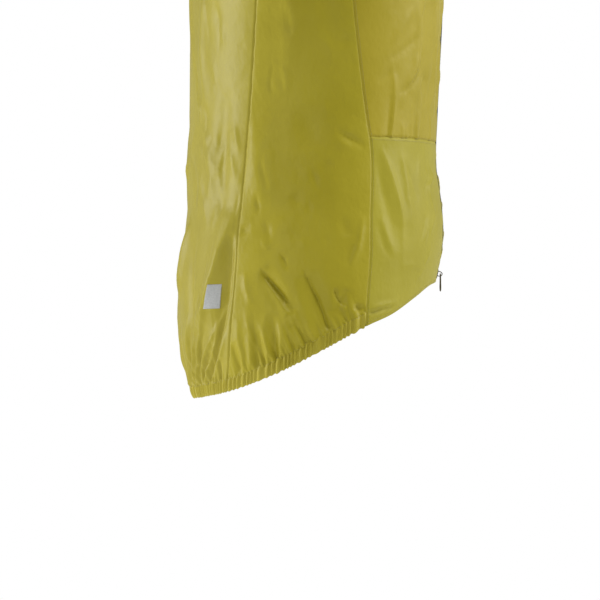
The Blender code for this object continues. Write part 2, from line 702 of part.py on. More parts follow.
def make_tapes():
    heights = height_steps(TAPE_HEIGHTS)
    for label, side in SIDES:
        def surface(s, t):
            z = ZIP_LOW_Z + (ZIP_HIGH_Z - ZIP_LOW_Z) * heights(t)
            x = ZIP_HALF_GAP + (ZIP_TAPE_EDGE - ZIP_HALF_GAP) * s
            return np.stack([side * x, centre_front(z, x) + TAPE_SINK, z], axis=-1)
        cloth_piece(f"zip_tape_{label}", surface, 1, len(TAPE_HEIGHTS) - 1, zip_cloth, ZIP_TAPE_WALL)


SLIDER_HALF_WIDTH = 0.0037
PLATE = 0.0011
CHAIN_CLEARANCE = 0.0016  # from the tape's outer face to the front plate
BAIL_HALF_WIDTH = 0.0008
BAIL_RISE = 0.0040  # hole in the bail, out from the front plate
BAIL_WALL = 0.0009
BAIL_HALF_LENGTH = 0.0028
BAIL_UP = 0.0010  # the bail's middle, up the zip from the slider's centre
POST_HALF_WIDTH = 0.0004  # the post parts the two chains
POST_LOW_Z, POST_HIGH_Z = -0.0030, 0.0042
LAP = 0.0001  # the slider's pieces reach this far into each other before they are joined
AXIS_OUT = CHAIN_CLEARANCE + PLATE + 0.0028  # hinge axis, out from the tape's outer face
AXIS_UP = 0.0009  # and up the zip from the slider's centre
PIN_RADIUS = 0.00055
PIN_REACH = 0.0005  # into each of the pull's legs
LEG_CLEARANCE = 0.0005  # between the bail and each leg
LEG_TOP_Z = 0.0009  # above the hinge axis
TAB_TOP_Z = -0.0052  # the tab begins below the bail


def block(name, low, high, look):
    """A box between two corners, from a cube primitive."""
    low, high = np.array(low), np.array(high)
    bm = bmesh.new()
    bmesh.ops.create_cube(bm, size=1.0)
    for vert in bm.verts:
        vert.co = (low + high) / 2 + np.array(vert.co) * (high - low)
    mesh = bpy.data.meshes.new(name)
    bm.to_mesh(mesh)
    bm.free()
    return add_object(name, mesh, look)


def join(first, others, name):
    """One body from overlapping pieces, by exact Boolean union."""
    for other in others:
        union = first.modifiers.new("join", "BOOLEAN")
        union.operation = "UNION"
        union.object = other
        bpy.context.view_layer.update()
        scene_now = bpy.context.evaluated_depsgraph_get()
        joined = bpy.data.meshes.new_from_object(first.evaluated_get(scene_now))
        first.modifiers.clear()
        first.data = joined
        bpy.data.objects.remove(other)
    first.name = name
    first.data.name = name
    return first


def make_slider(label, centre_z):
    """Slider: two plates with the chains between them, a post, and a bail that holds the pull."""
    y_out = -CHAIN_CLEARANCE - PLATE
    y_in = ZIP_TAPE_WALL + SEAM_GAP
    half = SLIDER_LENGTH / 2
    wide = SLIDER_HALF_WIDTH
    front = block("plate", (-wide, y_out, -half), (wide, -CHAIN_CLEARANCE, half), zip_metal)
    rest = [
        block("back", (-wide, y_in, -half), (wide, y_in + PLATE, half), zip_metal),
        block("post", (-POST_HALF_WIDTH, -CHAIN_CLEARANCE - LAP, POST_LOW_Z),
              (POST_HALF_WIDTH, y_in + LAP, POST_HIGH_Z), zip_metal),
    ]
    bail_out = y_out - BAIL_RISE
    for z in (BAIL_UP - BAIL_HALF_LENGTH, BAIL_UP + BAIL_HALF_LENGTH - BAIL_WALL):
        low = (-BAIL_HALF_WIDTH, bail_out - LAP, z)
        rest.append(block("leg", low, (BAIL_HALF_WIDTH, y_out + LAP, z + BAIL_WALL), zip_metal))
    low = (-BAIL_HALF_WIDTH - LAP, bail_out - BAIL_WALL, BAIL_UP - BAIL_HALF_LENGTH - LAP)
    high = (BAIL_HALF_WIDTH + LAP, bail_out, BAIL_UP + BAIL_HALF_LENGTH + LAP)
    rest.append(block("bridge", low, high, zip_metal))
    made = join(front, rest, f"slider_{label}")
    made.location = (0.0, float(centre_front(centre_z)) + TAPE_SINK, centre_z)
    made.rotation_euler = (slider_tilt(centre_z), 0.0, 0.0)
    return made


def make_pull(label, centre_z):
    """Pull tab, hanging straight down from the bail; its origin is on the hinge axis."""
    axis_y, axis_z = hinge_point(centre_z)
    leg_in, leg_out = BAIL_HALF_WIDTH + LEG_CLEARANCE, PULL_WIDTH / 2
    half = PULL_THICKNESS / 2
    leg_low_z = TAB_TOP_Z - 4 * LAP
    pin = bpy.data.meshes.new("pin")
    bm = bmesh.new()
    bmesh.ops.create_cone(bm, cap_ends=True, segments=10, radius1=PIN_RADIUS, radius2=PIN_RADIUS,
                          depth=2 * (leg_in + PIN_REACH))
    bmesh.ops.rotate(bm, verts=bm.verts, matrix=Matrix.Rotation(radians(90), 3, "Y"))
    bm.to_mesh(pin)
    bm.free()
    bar = add_object("pin", pin, zip_metal)
    pieces = [block("leg", (leg_in, -half, leg_low_z), (leg_out, half, LEG_TOP_Z), zip_metal),
              block("leg", (-leg_out, -half, leg_low_z), (-leg_in, half, LEG_TOP_Z), zip_metal),
              block("tab", (-leg_out - LAP, -half - LAP, -PULL_LENGTH),
                    (leg_out + LAP, half + LAP, TAB_TOP_Z), zip_metal)]
    made = join(bar, pieces, f"pull_{label}")
    made.location = (0.0, axis_y, axis_z)
    return made


def slider_tilt(centre_z):
    """Angle about X that lays a slider along the zip, which leans with the front."""
    reach = SLIDER_LENGTH / 2
    rise = centre_front(centre_z + reach) - centre_front(centre_z - reach)
    return -float(np.arctan(rise / (2 * reach)))


def hinge_point(centre_z):
    """Where a pull's axis, which runs along X, crosses the middle of the garment."""
    tilt = slider_tilt(centre_z)
    y = float(centre_front(centre_z)) + TAPE_SINK - AXIS_OUT * cos(tilt) - AXIS_UP * sin(tilt)
    return y, centre_z - AXIS_OUT * sin(tilt) + AXIS_UP * cos(tilt)


# ---------------------------------------------------------------- reflective tab
PATCH_WALL = 0.0010
PATCH_COLUMNS = (2, 5)  # the cells of the back panel's grid that it lies on
PATCH_ROWS = (3, 5)


def make_patch():
    """A plain grey tab, made from the back panel's own points, moved out."""
    folded = with_folds(back_surface, BACK_FOLDS, back_fade)
    columns = PATCH_COLUMNS[1] - PATCH_COLUMNS[0]
    rows = PATCH_ROWS[1] - PATCH_ROWS[0]
    made = cloth_piece(
        "reflective_patch",
        lambda s, t: folded((PATCH_COLUMNS[0] + s * columns) / BACK_COLUMNS,
                            (PATCH_ROWS[0] + t * rows) / BACK_ROWS),
        columns, rows, reflective, PATCH_WALL)
    mesh = made.data
    points = np.empty(3 * len(mesh.vertices))
    normals = np.empty(3 * len(mesh.vertices))
    mesh.vertices.foreach_get("co", points)
    mesh.vertices.foreach_get("normal", normals)
    mesh.vertices.foreach_set("co", points + normals * (SEAM_GAP + PATCH_WALL))
    return made


# ---------------------------------------------------------------- build
for leftover in list(bpy.data.objects):
    bpy.data.objects.remove(leftover)

garment = bpy.data.collections.new("gilet")
bpy.context.scene.collection.children.link(garment)

shell_cloth = material("shell_cloth", (0.31, 0.26, 0.03), 0.55)
elastic_cloth = material("elastic_cloth", (0.29, 0.24, 0.03), 0.60)
zip_cloth = material("zip_cloth", (0.06, 0.06, 0.055), 0.70)
zip_metal = material("zip_metal", (0.10, 0.09, 0.05), 0.40, metallic=0.6)
reflective = material("reflective", (0.34, 0.34, 0.33), 0.35, metallic=0.3)

SIDES = (("R", -1), ("L", 1))

make_back()
make_sides()
make_fronts()
make_casing()
make_bindings()
make_collar()
make_tapes()
for slider_label, slider_z in (("lower", SLIDER_LOWER_Z), ("upper", ZIP_HIGH_Z - SLIDER_BELOW_TOP)):
    make_slider(slider_label, slider_z)
    make_pull(slider_label, slider_z)
make_patch()
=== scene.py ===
# %% [markdown]
# # Dressing a windproof gilet
# The real garment is a very light sleeveless jacket for riding: one thin layer of smooth woven
# cloth, cut in seven panels, with a dropped tail that is drawn in by an elastic channel. It could be
# draped by a cloth solver, but its creases are seen from close by and have to lie where they do in
# the photograph. So each panel is a surface worked out with numpy on the same form as its solid.
# The creases that can be made out are laid on it, each as one row of a table, and several
# hundred small ones are scattered between them by a generator with set seeds.

# %% Load the frame
from collections import namedtuple
from math import cos, pi, radians, sin

import bpy
import numpy as np
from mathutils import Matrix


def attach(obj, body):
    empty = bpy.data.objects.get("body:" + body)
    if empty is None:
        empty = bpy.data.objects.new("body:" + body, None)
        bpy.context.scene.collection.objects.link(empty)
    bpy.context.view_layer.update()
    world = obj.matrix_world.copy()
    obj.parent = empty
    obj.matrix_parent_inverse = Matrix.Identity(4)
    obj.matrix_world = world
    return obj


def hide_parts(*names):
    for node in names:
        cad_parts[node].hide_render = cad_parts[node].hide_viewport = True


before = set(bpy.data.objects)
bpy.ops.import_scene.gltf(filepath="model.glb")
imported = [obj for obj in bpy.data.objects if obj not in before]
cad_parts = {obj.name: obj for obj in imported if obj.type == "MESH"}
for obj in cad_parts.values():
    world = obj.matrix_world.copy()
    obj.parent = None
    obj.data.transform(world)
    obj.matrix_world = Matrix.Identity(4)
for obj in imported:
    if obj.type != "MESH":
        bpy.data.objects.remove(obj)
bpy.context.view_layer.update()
MM = 0.001
SIDES = (("R", -1), ("L", 1))


def put(name, data):
    """A new object in the scene, at the origin."""
    made = bpy.data.objects.new(name, data)
    bpy.context.scene.collection.objects.link(made)
    return made


def full_turn(count):
    return np.linspace(0.0, 2 * pi, count, endpoint=False)


def signed_power(value, power):
    return np.sign(value) * np.abs(value) ** power


# %% [markdown]
# ## The camera
# The photograph is a square, taken level from the wearer's right, so far away that the outline is
# hardly enlarged by perspective. A pixel is one millimetre on the garment's middle plane. A long
# lens on a camera 3.5 m away gives the same view.

# %% Camera
VIEW_CENTRE = (0.0, 0.015, -0.623)  # the middle of the photograph, on the garment's middle plane
VIEW_DISTANCE = 3.5
VIEW_WIDTH = 0.600  # what the picture spans at that distance
SENSOR_MM = 36.0

camera_data = bpy.data.cameras.new("camera")
camera_data.sensor_width = SENSOR_MM
camera_data.lens = SENSOR_MM * VIEW_DISTANCE / VIEW_WIDTH
camera = put("camera", camera_data)
camera.location = (VIEW_CENTRE[0] - VIEW_DISTANCE, VIEW_CENTRE[1], VIEW_CENTRE[2])
camera.rotation_euler = (radians(90), 0.0, radians(-90))
bpy.context.scene.camera = camera
print(f"camera: {camera_data.lens:.0f} mm lens, {VIEW_DISTANCE} m away")

# %% [markdown]
# ## The hollow form
# A worn garment is a stack of rounded level rings, wide at the shoulders and narrow at the waist.
# The table gives each ring's half width and its depth to the front and to the back, and the ring is
# a superellipse, a little squarer than an ellipse. These are the sizes the solids were built from,
# so the cloth lands on them.

# %% Sections, hem and seams
ROUNDNESS = 2.2
YOKE_SEAM_Z = -0.4665
CASING_HEIGHT = 0.0100
ARMHOLE_Z = -0.150
ARMHOLE_HALF_WIDTH = 0.052
ARMHOLE_HALF_HEIGHT = 0.093
BINDING_WIDTH = 0.008
NECK_HALF_WIDTH = 0.078
NECK_FRONT_DEPTH = 0.085
NECK_BACK_DEPTH = 0.062
COLLAR_HEIGHT = 0.050
COLLAR_SIDE_DIP = 0.005
COLLAR_LEAN = 0.004
FRONT_EDGE = 0.0045
SEAM_GAP = 0.0003
PANEL_MARGIN = BINDING_WIDTH + SEAM_GAP

Section = namedtuple("Section", "z half_width front_depth back_depth")
SECTIONS = [Section(*(size_mm / 1000 for size_mm in row)) for row in (
    (0, 78, 40, 58),  # neck points
    (-20, 122, 50, 69),
    (-35, 154, 59, 77.5),
    (-49, 181, 69, 85.5),  # shoulder tips
    (-65, 195, 79.5, 93.5),
    (-85, 202, 90.5, 102),
    (-120, 205, 106, 112.5),
    (-170, 202, 118, 121),
    (-250, 193, 126.5, 125.5),  # armpits
    (-320, 183, 127.5, 125),
    (-400, 169, 124, 125),
    (-441, 165, 122, 125.5),
    (-489, 164, 121, 128),  # waist
    (-521, 166, 125.5, 128),
    (-553, 169, 128, 129.5),
    (-577, 172, 126, 133),
    (-605, 175, 120, 137.5),  # front hem
    (-640, 177, 112, 138),
    (-673, 176, 105, 135),
    (-697, 173, 101, 129),
    (-720, 169, 98, 123),  # back hem
)]

HemPoint = namedtuple("HemPoint", "y z")
HEM = [  # seen from the side, centre front to centre back
    HemPoint(-0.1200, -0.6050),
    HemPoint(-0.1140, -0.6075),
    HemPoint(-0.0985, -0.6190),
    HemPoint(-0.0750, -0.6355),
    HemPoint(-0.0500, -0.6470),
    HemPoint(-0.0060, -0.6705),
    HemPoint(0.0390, -0.6932),
    HemPoint(0.0850, -0.7108),
    HemPoint(0.1230, -0.7200),
]

SeamPoint = namedtuple("SeamPoint", "z y")
FRONT_SEAM_TOP_Y = -0.028
BACK_SEAM_TOP_Y = 0.047
FRONT_SEAM = [  # between side panel and fronts, below the armhole
    SeamPoint(-0.3000, -0.0325),
    SeamPoint(-0.3800, -0.0405),
    SeamPoint(-0.4509, -0.0495),
    SeamPoint(-0.4677, -0.0522),
    SeamPoint(-0.5465, -0.0529),
    SeamPoint(-0.5876, -0.0522),
    SeamPoint(-0.6106, -0.0504),
    SeamPoint(-0.6479, -0.0484),
]
BACK_SEAM = [  # between side panel and back
    SeamPoint(-0.3200, 0.0555),
    SeamPoint(-0.4504, 0.0642),
    SeamPoint(-0.5255, 0.0709),
    SeamPoint(-0.5609, 0.0748),
    SeamPoint(-0.6010, 0.0771),
    SeamPoint(-0.6526, 0.0819),
    SeamPoint(-0.7106, 0.0850),
]


# %% Points on the form
def smooth(rows, key, value, at):
    """Cubic Hermite curve through a table, with slopes from the neighbouring rows."""
    order = sorted(rows, key=lambda row: getattr(row, key))
    x = np.array([getattr(row, key) for row in order])
    y = np.array([getattr(row, value) for row in order])
    slope = np.gradient(y, x)
    at = np.clip(at, x[0], x[-1])
    i = np.clip(np.searchsorted(x, at) - 1, 0, len(x) - 2)
    span = x[i + 1] - x[i]
    f = (at - x[i]) / span
    start = y[i] * (1 + 2 * f) * (1 - f) ** 2 + span * slope[i] * f * (1 - f) ** 2
    end = y[i + 1] * f * f * (3 - 2 * f) + span * slope[i + 1] * f * f * (f - 1)
    return start + end


def depth(z, facing):
    return smooth(SECTIONS, "z", "front_depth" if facing < 0 else "back_depth", z)


def half_width(z):
    return smooth(SECTIONS, "z", "half_width", z)


def on_ring(turn, z, facing):
    """x = a sin(turn)^(2/n), y = b cos(turn)^(2/n), with the ring's a and b at height z."""
    turn, z = np.broadcast_arrays(turn, z)
    across = half_width(z) * np.abs(np.sin(turn)) ** (2 / ROUNDNESS)
    ahead = depth(z, facing) * np.abs(np.cos(turn)) ** (2 / ROUNDNESS)
    return np.stack([np.sign(turn) * across, facing * ahead, z], axis=-1)


def turn_at(y, z, facing):
    return np.arccos(np.clip(np.abs(y) / depth(z, facing), 0.0, 1.0) ** (ROUNDNESS / 2))


def on_side(y, z, side):
    """The form seen from the side: x = a (1 - |y/b|^n)^(1/n)."""
    y, z = np.broadcast_arrays(y, z)
    span = np.where(y < 0, depth(z, -1), depth(z, 1))
    x = half_width(z) * np.clip(1 - np.abs(y / span) ** ROUNDNESS, 0.0, 1.0) ** (1 / ROUNDNESS)
    return np.stack([side * x, y, z], axis=-1)


def on_face(x, z, facing):
    """The form seen from the front (-1) or the back (+1): y = b (1 - |x/a|^n)^(1/n)."""
    x, z = np.broadcast_arrays(x, z)
    y = depth(z, facing) * np.clip(1 - np.abs(x / half_width(z)) ** ROUNDNESS, 0.0, 1.0) ** (1 / ROUNDNESS)
    return np.stack([x, facing * y, z], axis=-1)


# %% Neckline, armholes and seams
NECK_LOWEST_Z = -0.12
HALVINGS = 40


def neck_height(x, y):
    """Height at which the form passes over a plan point, by halving an interval."""
    low = np.full(np.shape(x), NECK_LOWEST_Z)
    high = np.zeros(np.shape(x))
    for _ in range(HALVINGS):
        middle = (low + high) / 2
        span = np.where(y < 0, depth(middle, -1), depth(middle, 1))
        outside = (np.abs(x) / half_width(middle)) ** ROUNDNESS + (np.abs(y) / span) ** ROUNDNESS > 1
        high = np.where(outside, middle, high)
        low = np.where(outside, low, middle)
    return (low + high) / 2


def neck_plan(angle):
    """The neckline from above: angle 0 is the centre back, pi the centre front."""
    reach = np.where(np.cos(angle) < 0, NECK_FRONT_DEPTH, NECK_BACK_DEPTH)
    x = NECK_HALF_WIDTH * np.sin(angle)
    y = reach * np.cos(angle)
    return x, y, neck_height(x, y)


def neck_at_turn(turn, facing):
    angle = np.linspace(0.0, pi / 2, 181) if facing > 0 else np.linspace(pi, pi / 2, 181)
    _, y, z = neck_plan(angle)
    turns = turn_at(y, z, facing)
    return np.interp(turn, turns, angle), np.interp(turn, turns, z)


NECK_FRONT_Z = float(neck_height(0.0, -NECK_FRONT_DEPTH))
SHOULDER_TIP_Z = ARMHOLE_Z + ARMHOLE_HALF_HEIGHT + PANEL_MARGIN


def armhole_y(z, margin):
    rise = np.clip((z - ARMHOLE_Z) / (ARMHOLE_HALF_HEIGHT + margin), -1.0, 1.0)
    return (ARMHOLE_HALF_WIDTH + margin) * np.sqrt(1 - rise * rise)


def armhole_bottom_z(y, margin):
    reach = np.clip(y / (ARMHOLE_HALF_WIDTH + margin), -1.0, 1.0)
    return ARMHOLE_Z - (ARMHOLE_HALF_HEIGHT + margin) * np.sqrt(1 - reach * reach)


for seam, top_y in ((FRONT_SEAM, FRONT_SEAM_TOP_Y), (BACK_SEAM, BACK_SEAM_TOP_Y)):
    seam.append(SeamPoint(float(armhole_bottom_z(top_y, PANEL_MARGIN)), top_y))


def seam_y(z, facing):
    return smooth(FRONT_SEAM if facing < 0 else BACK_SEAM, "z", "y", z)


def hem_z(y):
    return smooth(HEM, "y", "z", y)


def casing_top_z(y):
    """The hem moved up by the channel's height, square to its slope."""
    step = 2 * MM
    slope = (hem_z(y + step) - hem_z(y - step)) / (2 * step)
    return hem_z(y) + CASING_HEIGHT * np.sqrt(1 + slope * slope)


HEM_GUESS_Z, ARMHOLE_GUESS_Z = -0.68, -0.24
SEARCH_STEPS = 12


def line_at_turn(line, turn, facing):
    """Height at which an edge given as line(y) crosses a turn of the form, by repeated steps."""
    z = np.full(np.shape(turn), HEM_GUESS_Z)
    for _ in range(SEARCH_STEPS):
        z = line(facing * depth(z, facing) * np.abs(np.cos(turn)) ** (2 / ROUNDNESS))
    return z


def spread_turn(s, start, edge, opening):
    """Turns from start to edge whose columns fan out as on a ring seen over an opening angle."""
    share = np.sin(s * opening) / np.sin(opening)
    return np.arcsin(np.clip(np.sin(start) + (np.sin(edge) - np.sin(start)) * share, 0.0, 1.0))


def column_opening(edge_z):
    low, high = radians(60), pi / 2
    rise = np.clip((edge_z - ARMHOLE_Z) / (SHOULDER_TIP_Z - ARMHOLE_Z), 0.0, 1.0)
    return low + (high - low) * rise


def outer_turn(z, facing):
    """Turn of a front's or back's outer edge: seam, then armhole, then shoulder seam."""
    top = (FRONT_SEAM if facing < 0 else BACK_SEAM)[-1].z
    edge = np.where(z < top, np.abs(seam_y(z, facing)), armhole_y(z, PANEL_MARGIN))
    return turn_at(np.where(z > SHOULDER_TIP_Z, 0.0, edge), z, facing)


def centre_turn(z):
    return np.arcsin((FRONT_EDGE / half_width(z)) ** (ROUNDNESS / 2))


BACK_LOW_Z = float(casing_top_z(BACK_SEAM[-2].y))
FRONT_HEM_Z = float(hem_z(FRONT_SEAM[-2].y))


# %% The panels' own surfaces, s across from 0 to 1 and t up from 0 to 1
def back_surface(s, t):
    """From the wearer's right to left, and from the channel to the neck and shoulders."""
    across = np.abs(2 * s - 1)
    edge_z = BACK_LOW_Z * (1 - t)
    low_turn = spread_turn(across, 0.0, outer_turn(BACK_LOW_Z, 1), column_opening(BACK_LOW_Z))
    low = line_at_turn(casing_top_z, low_turn, 1)
    high = neck_at_turn(across * pi / 2, 1)[1]
    turn = spread_turn(across, 0.0, outer_turn(edge_z, 1), column_opening(edge_z))
    return on_ring(np.sign(s - 0.5) * turn, low + (high - low) * t, 1)


def side_surface(side):
    """From the front seam to the back seam, and from the channel to the armhole."""
    def across_seams(s, z):
        return seam_y(z, -1) + (seam_y(z, 1) - seam_y(z, -1)) * s

    def surface(s, t):
        low = np.full(np.shape(s), HEM_GUESS_Z)
        high = np.full(np.shape(s), ARMHOLE_GUESS_Z)
        for _ in range(SEARCH_STEPS):
            low = casing_top_z(across_seams(s, low))
            high = armhole_bottom_z(across_seams(s, high), PANEL_MARGIN)
        z = low + (high - low) * t
        return on_side(across_seams(s, z), z, side)
    return surface


def lower_front_surface(side):
    """From the zip to the front seam, and from the hem to the level seam."""
    def surface(s, t):
        inner = centre_turn(HEM[0].z)
        low = line_at_turn(hem_z, inner + (outer_turn(FRONT_HEM_Z, -1) - inner) * s, -1)
        z = low + (YOKE_SEAM_Z - low) * t
        turn = centre_turn(z) + (outer_turn(z, -1) - centre_turn(z)) * s
        return on_ring(side * turn, z, -1)
    return surface


def upper_front_surface(side):
    """From the zip to the outer edge, and from the level seam to the neck and shoulder."""
    def surface(s, t):
        neck_turn = spread_turn(s, centre_turn(NECK_FRONT_Z), pi / 2, pi / 2)
        z = YOKE_SEAM_Z + (neck_at_turn(neck_turn, -1)[1] - YOKE_SEAM_Z) * t
        edge_z = YOKE_SEAM_Z * (1 - t)
        turn = spread_turn(s, centre_turn(z), outer_turn(edge_z, -1), column_opening(edge_z))
        return on_ring(side * turn, z, -1)
    return surface


# %% [markdown]
# ## Grids that become cloth
# A panel is a grid of points. Its lines lie close together along the seams, where the cloth dips
# into a groove, and near the hem, where it is gathered. The helpers below measure a grid, find
# which way is out, and put it into a mesh with a map in metres, so that the fine weave has its real
# size. The thickness is a Solidify modifier, which makes the wall inwards.

# %% Grid helpers
SEAM_LINES = np.array([0.0, 0.35, 0.75, 1.2, 1.8, 2.6]) * MM  # the grid's first lines from a seam
CLOTH_WALL = 0.35 * MM
ALLOWANCE = 1.8 * MM  # how far a panel's edge turns in at a seam


def stations(length, spacing, low_zone=0.0, low_spacing=None):
    """Shares of a length for grid lines: fine at both ends, and closer up to low_zone."""
    start, end = SEAM_LINES[-1], length - SEAM_LINES[-1]
    middle = max(start, low_zone)
    low_count = max(int((middle - start) / (low_spacing or spacing)), 0)
    low = np.linspace(start, middle, low_count + 1)[1:] if low_count else np.array([])
    high = np.linspace(middle, end, int((end - middle) / spacing) + 1)[1:]
    return np.concatenate([SEAM_LINES, low, high, length - SEAM_LINES[-2::-1]]) / length


def unit(vectors):
    return vectors / np.maximum(np.linalg.norm(vectors, axis=-1, keepdims=True), 1e-12)


def grid_normals(points):
    """Unit normals from the cross product of the grid's two directions, faced away from the axis."""
    normal = unit(np.cross(np.gradient(points, axis=1), np.gradient(points, axis=0)))
    return normal * np.sign(np.sum(normal[..., :2] * points[..., :2]))


def edge_distances(points):
    """How far each point is from the grid's start and end, along its rows and along its columns."""
    def run(axis):
        step = np.linalg.norm(np.diff(points, axis=axis), axis=-1)
        pad = ((0, 0), (1, 0)) if axis == 1 else ((1, 0), (0, 0))
        start = np.pad(np.cumsum(step, axis=axis), pad)
        return start, np.take(start, [-1], axis=axis) - start
    return (*run(1), *run(0))


def edge_first(grid, edge):
    """The grid turned so that the named edge is its first column."""
    grid = np.swapaxes(grid, 0, 1) if edge in ("low", "high") else grid
    return grid[:, ::-1] if edge in ("right", "high") else grid


def edge_back(grid, edge):
    grid = grid[:, ::-1] if edge in ("right", "high") else grid
    return np.swapaxes(grid, 0, 1) if edge in ("low", "high") else grid


def bell(gap, width):
    return np.exp(-((gap / width) ** 2))


def ease(share):
    share = np.clip(share, 0.0, 1.0)
    return share * share * (3 - 2 * share)


# %% Meshes from grids
def grid_part(points, wrap_rows=False, wrap_columns=False, caps=False):
    """Points and faces of a grid: a quad between each four neighbours, wrapped or capped at will."""
    rows, columns = points.shape[:2]
    index = np.arange(rows * columns).reshape(rows, columns)
    if wrap_rows:
        index = np.concatenate([index, index[:1]])
    if wrap_columns:
        index = np.concatenate([index, index[:, :1]], axis=1)
    quads = np.stack([index[:-1, :-1], index[:-1, 1:], index[1:, 1:], index[1:, :-1]], axis=-1).reshape(-1, 4)
    faces = quads.tolist()
    triangles = [quads[:, :3], quads[:, [0, 2, 3]]]
    if caps:
        ring = np.arange(columns)
        for end in (ring[::-1], ring + (rows - 1) * columns):
            faces.append(end.tolist())
            triangles.append(np.stack([np.full(columns - 2, end[0]), end[1:-1], end[2:]], axis=-1))
    a, b, c = np.moveaxis(points.reshape(-1, 3)[np.concatenate(triangles)], 1, 0)
    if wrap_columns and (caps or wrap_rows) and np.sum(a * np.cross(b, c)) < 0:
        faces = [face[::-1] for face in faces]
    return points, faces


def mesh_of(name, *parts):
    """One smooth mesh of several grids, with a map in metres along and across each."""
    faces, start = [], 0
    for points, part_faces in parts:
        faces += [[start + i for i in face] for face in part_faces] if start else part_faces
        start += points.shape[0] * points.shape[1]
    mesh = bpy.data.meshes.new(name)
    mesh.from_pydata(np.concatenate([points.reshape(-1, 3) for points, _ in parts]), [], faces)
    place = []
    for points, _ in parts:
        along, _, up, _ = edge_distances(points)
        place.append(np.stack([along, up], axis=-1).reshape(-1, 2))
    corner = np.empty(len(mesh.loops), dtype=np.int32)
    mesh.loops.foreach_get("vertex_index", corner)
    cloth_map = np.concatenate(place)[corner].astype(np.float32)
    mesh.uv_layers.new(name="cloth").data.foreach_set("uv", cloth_map.ravel())
    mesh.shade_smooth()
    return mesh


def add_piece(name, mesh, look, body, nodes=()):
    """Puts a finished mesh into the scene, on its body and in place of its solids."""
    mesh.materials.append(look)
    made = put(name, mesh)
    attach(made, body)
    if nodes:
        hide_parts(*nodes)
    print(f"{name}: {len(mesh.polygons)} faces")
    return made


def with_allowances(points, edges):
    """Adds two lines beyond each named edge that turn inwards, as the cloth does at a seam."""
    for edge in edges:
        points = edge_first(points, edge)
        inward = -grid_normals(points)[:, :1] * ALLOWANCE
        beyond = points[:, :1] + unit(points[:, :1] - points[:, 1:2]) * SEAM_GAP
        points = edge_back(np.concatenate([beyond + inward, beyond + 0.4 * inward, points], axis=1), edge)
    return points


def add_cloth(name, points, look, nodes, slot_name="shell_fabric", wall=CLOTH_WALL, turned=()):
    """An open grid as a thin wall, faced away from the garment's axis."""
    points = with_allowances(points, turned)
    mesh = mesh_of(name, grid_part(points))
    faces_to = np.cross(np.diff(points[:-1], axis=1), np.diff(points[:, :-1], axis=0))
    if np.sum(faces_to[..., :2] * points[:-1, :-1, :2]) < 0:
        mesh.flip_normals()
    made = add_piece(name, mesh, look, "garment", nodes)
    thick = made.modifiers.new("wall", "SOLIDIFY")
    thick.thickness = wall
    thick.offset = -1.0
    return made


# %% [markdown]
# ## Creases
# Thin windproof cloth hardly stretches, so it answers every bend of the body with creases: long
# soft ridges that hang from a seam, sharper pinches that run up from the gathered hem, and small
# dents where the cloth buckles. Each is one row of a table: a width, a height out or in, how much
# wider the far end is, how sharp its crest is, and then its path, seen from one side of the garment.
# The height over the cloth is a bell of the distance to the path, so creases can cross and add up.

# %% One crease
Crease = namedtuple("Crease", "seen path width height spread crest held")
# seen: R or L for paths of (y, z), front or back for paths of (x, z), all in millimetres
# crest: 2 is a soft bell, 1.2 a sharp pinch; held: the first end is caught in a seam


def smooth_path(path, steps=5):
    """Cubic curve through a few given points."""
    path = np.array(path, dtype=float)
    slope = np.gradient(path, axis=0) if len(path) > 2 else np.diff(path, axis=0)[[0, 0]]
    place = np.linspace(0, len(path) - 1, (len(path) - 1) * steps + 1)
    i = np.minimum(place.astype(int), len(path) - 2)
    f = (place - i)[:, None]
    return (path[i] * (1 + 2 * f) * (1 - f) ** 2 + slope[i] * f * (1 - f) ** 2
            + path[i + 1] * f * f * (3 - 2 * f) + slope[i + 1] * f * f * (f - 1))


def crease_line(crease):
    across, z = smooth_path(crease.path).T * MM
    if crease.seen in ("front", "back"):
        return on_face(across, z, -1 if crease.seen == "front" else 1)
    return on_side(across, z, -1 if crease.seen == "R" else 1)


def nearest_on_line(points, line):
    """Distance from each point to a polyline, and how far along the line (0 to 1) it lies."""
    lengths = np.linalg.norm(np.diff(line, axis=0), axis=1)
    before = np.concatenate([[0.0], np.cumsum(lengths)])
    best = np.full(len(points), np.inf)
    along = np.zeros(len(points))
    for i, length in enumerate(lengths):
        step = (line[i + 1] - line[i]) / max(length, 1e-9)
        reach = np.clip((points - line[i]) @ step, 0.0, length)
        gap = np.linalg.norm(points - line[i] - reach[:, None] * step, axis=1)
        closer = gap < best
        best[closer] = gap[closer]
        along[closer] = (before[i] + reach[closer]) / before[-1]
    return best, along


STRENGTH = 1.35  # of all creases against their rows in the tables


def crease_relief(points, creases):
    """Height of all creases at each point: height * exp(-(distance / width)^crest), fading at the ends."""
    flat = points.reshape(-1, 3)
    relief = np.zeros(len(flat))
    for crease in creases:
        line = crease_line(crease)
        reach = 3.5 * crease.width * MM * max(crease.spread, 1.0)
        near = np.all((flat > line.min(axis=0) - reach) & (flat < line.max(axis=0) + reach), axis=1)
        if not near.any():
            continue
        gap, along = nearest_on_line(flat[near], line)
        width = crease.width * MM * (1 + (crease.spread - 1) * along)
        ends = np.cos(pi / 2 * along) if crease.held else np.sin(pi * along)
        crest = np.exp(-((gap / width) ** crease.crest))
        relief[near] += STRENGTH * crease.height * MM * crest * np.maximum(ends, 0) ** 0.6
    return relief.reshape(points.shape[:-1])


# %% Rows of creases, and creases that are like the others
def crease_rows(*rows):
    """Rows of width, height, spread, crest and the path's points, each across and down, in
    millimetres. A heading says from where the rows below it are seen, and if they are held."""
    made = []
    for row in rows:
        if isinstance(row, str):
            seen, start = row.split()
            continue
        width, height, spread, crest, *path = row
        points = [(across, -down) for across, down in zip(path[::2], path[1::2])]
        made.append(Crease(seen, points, width, height, spread, crest, start == "held"))
    return made


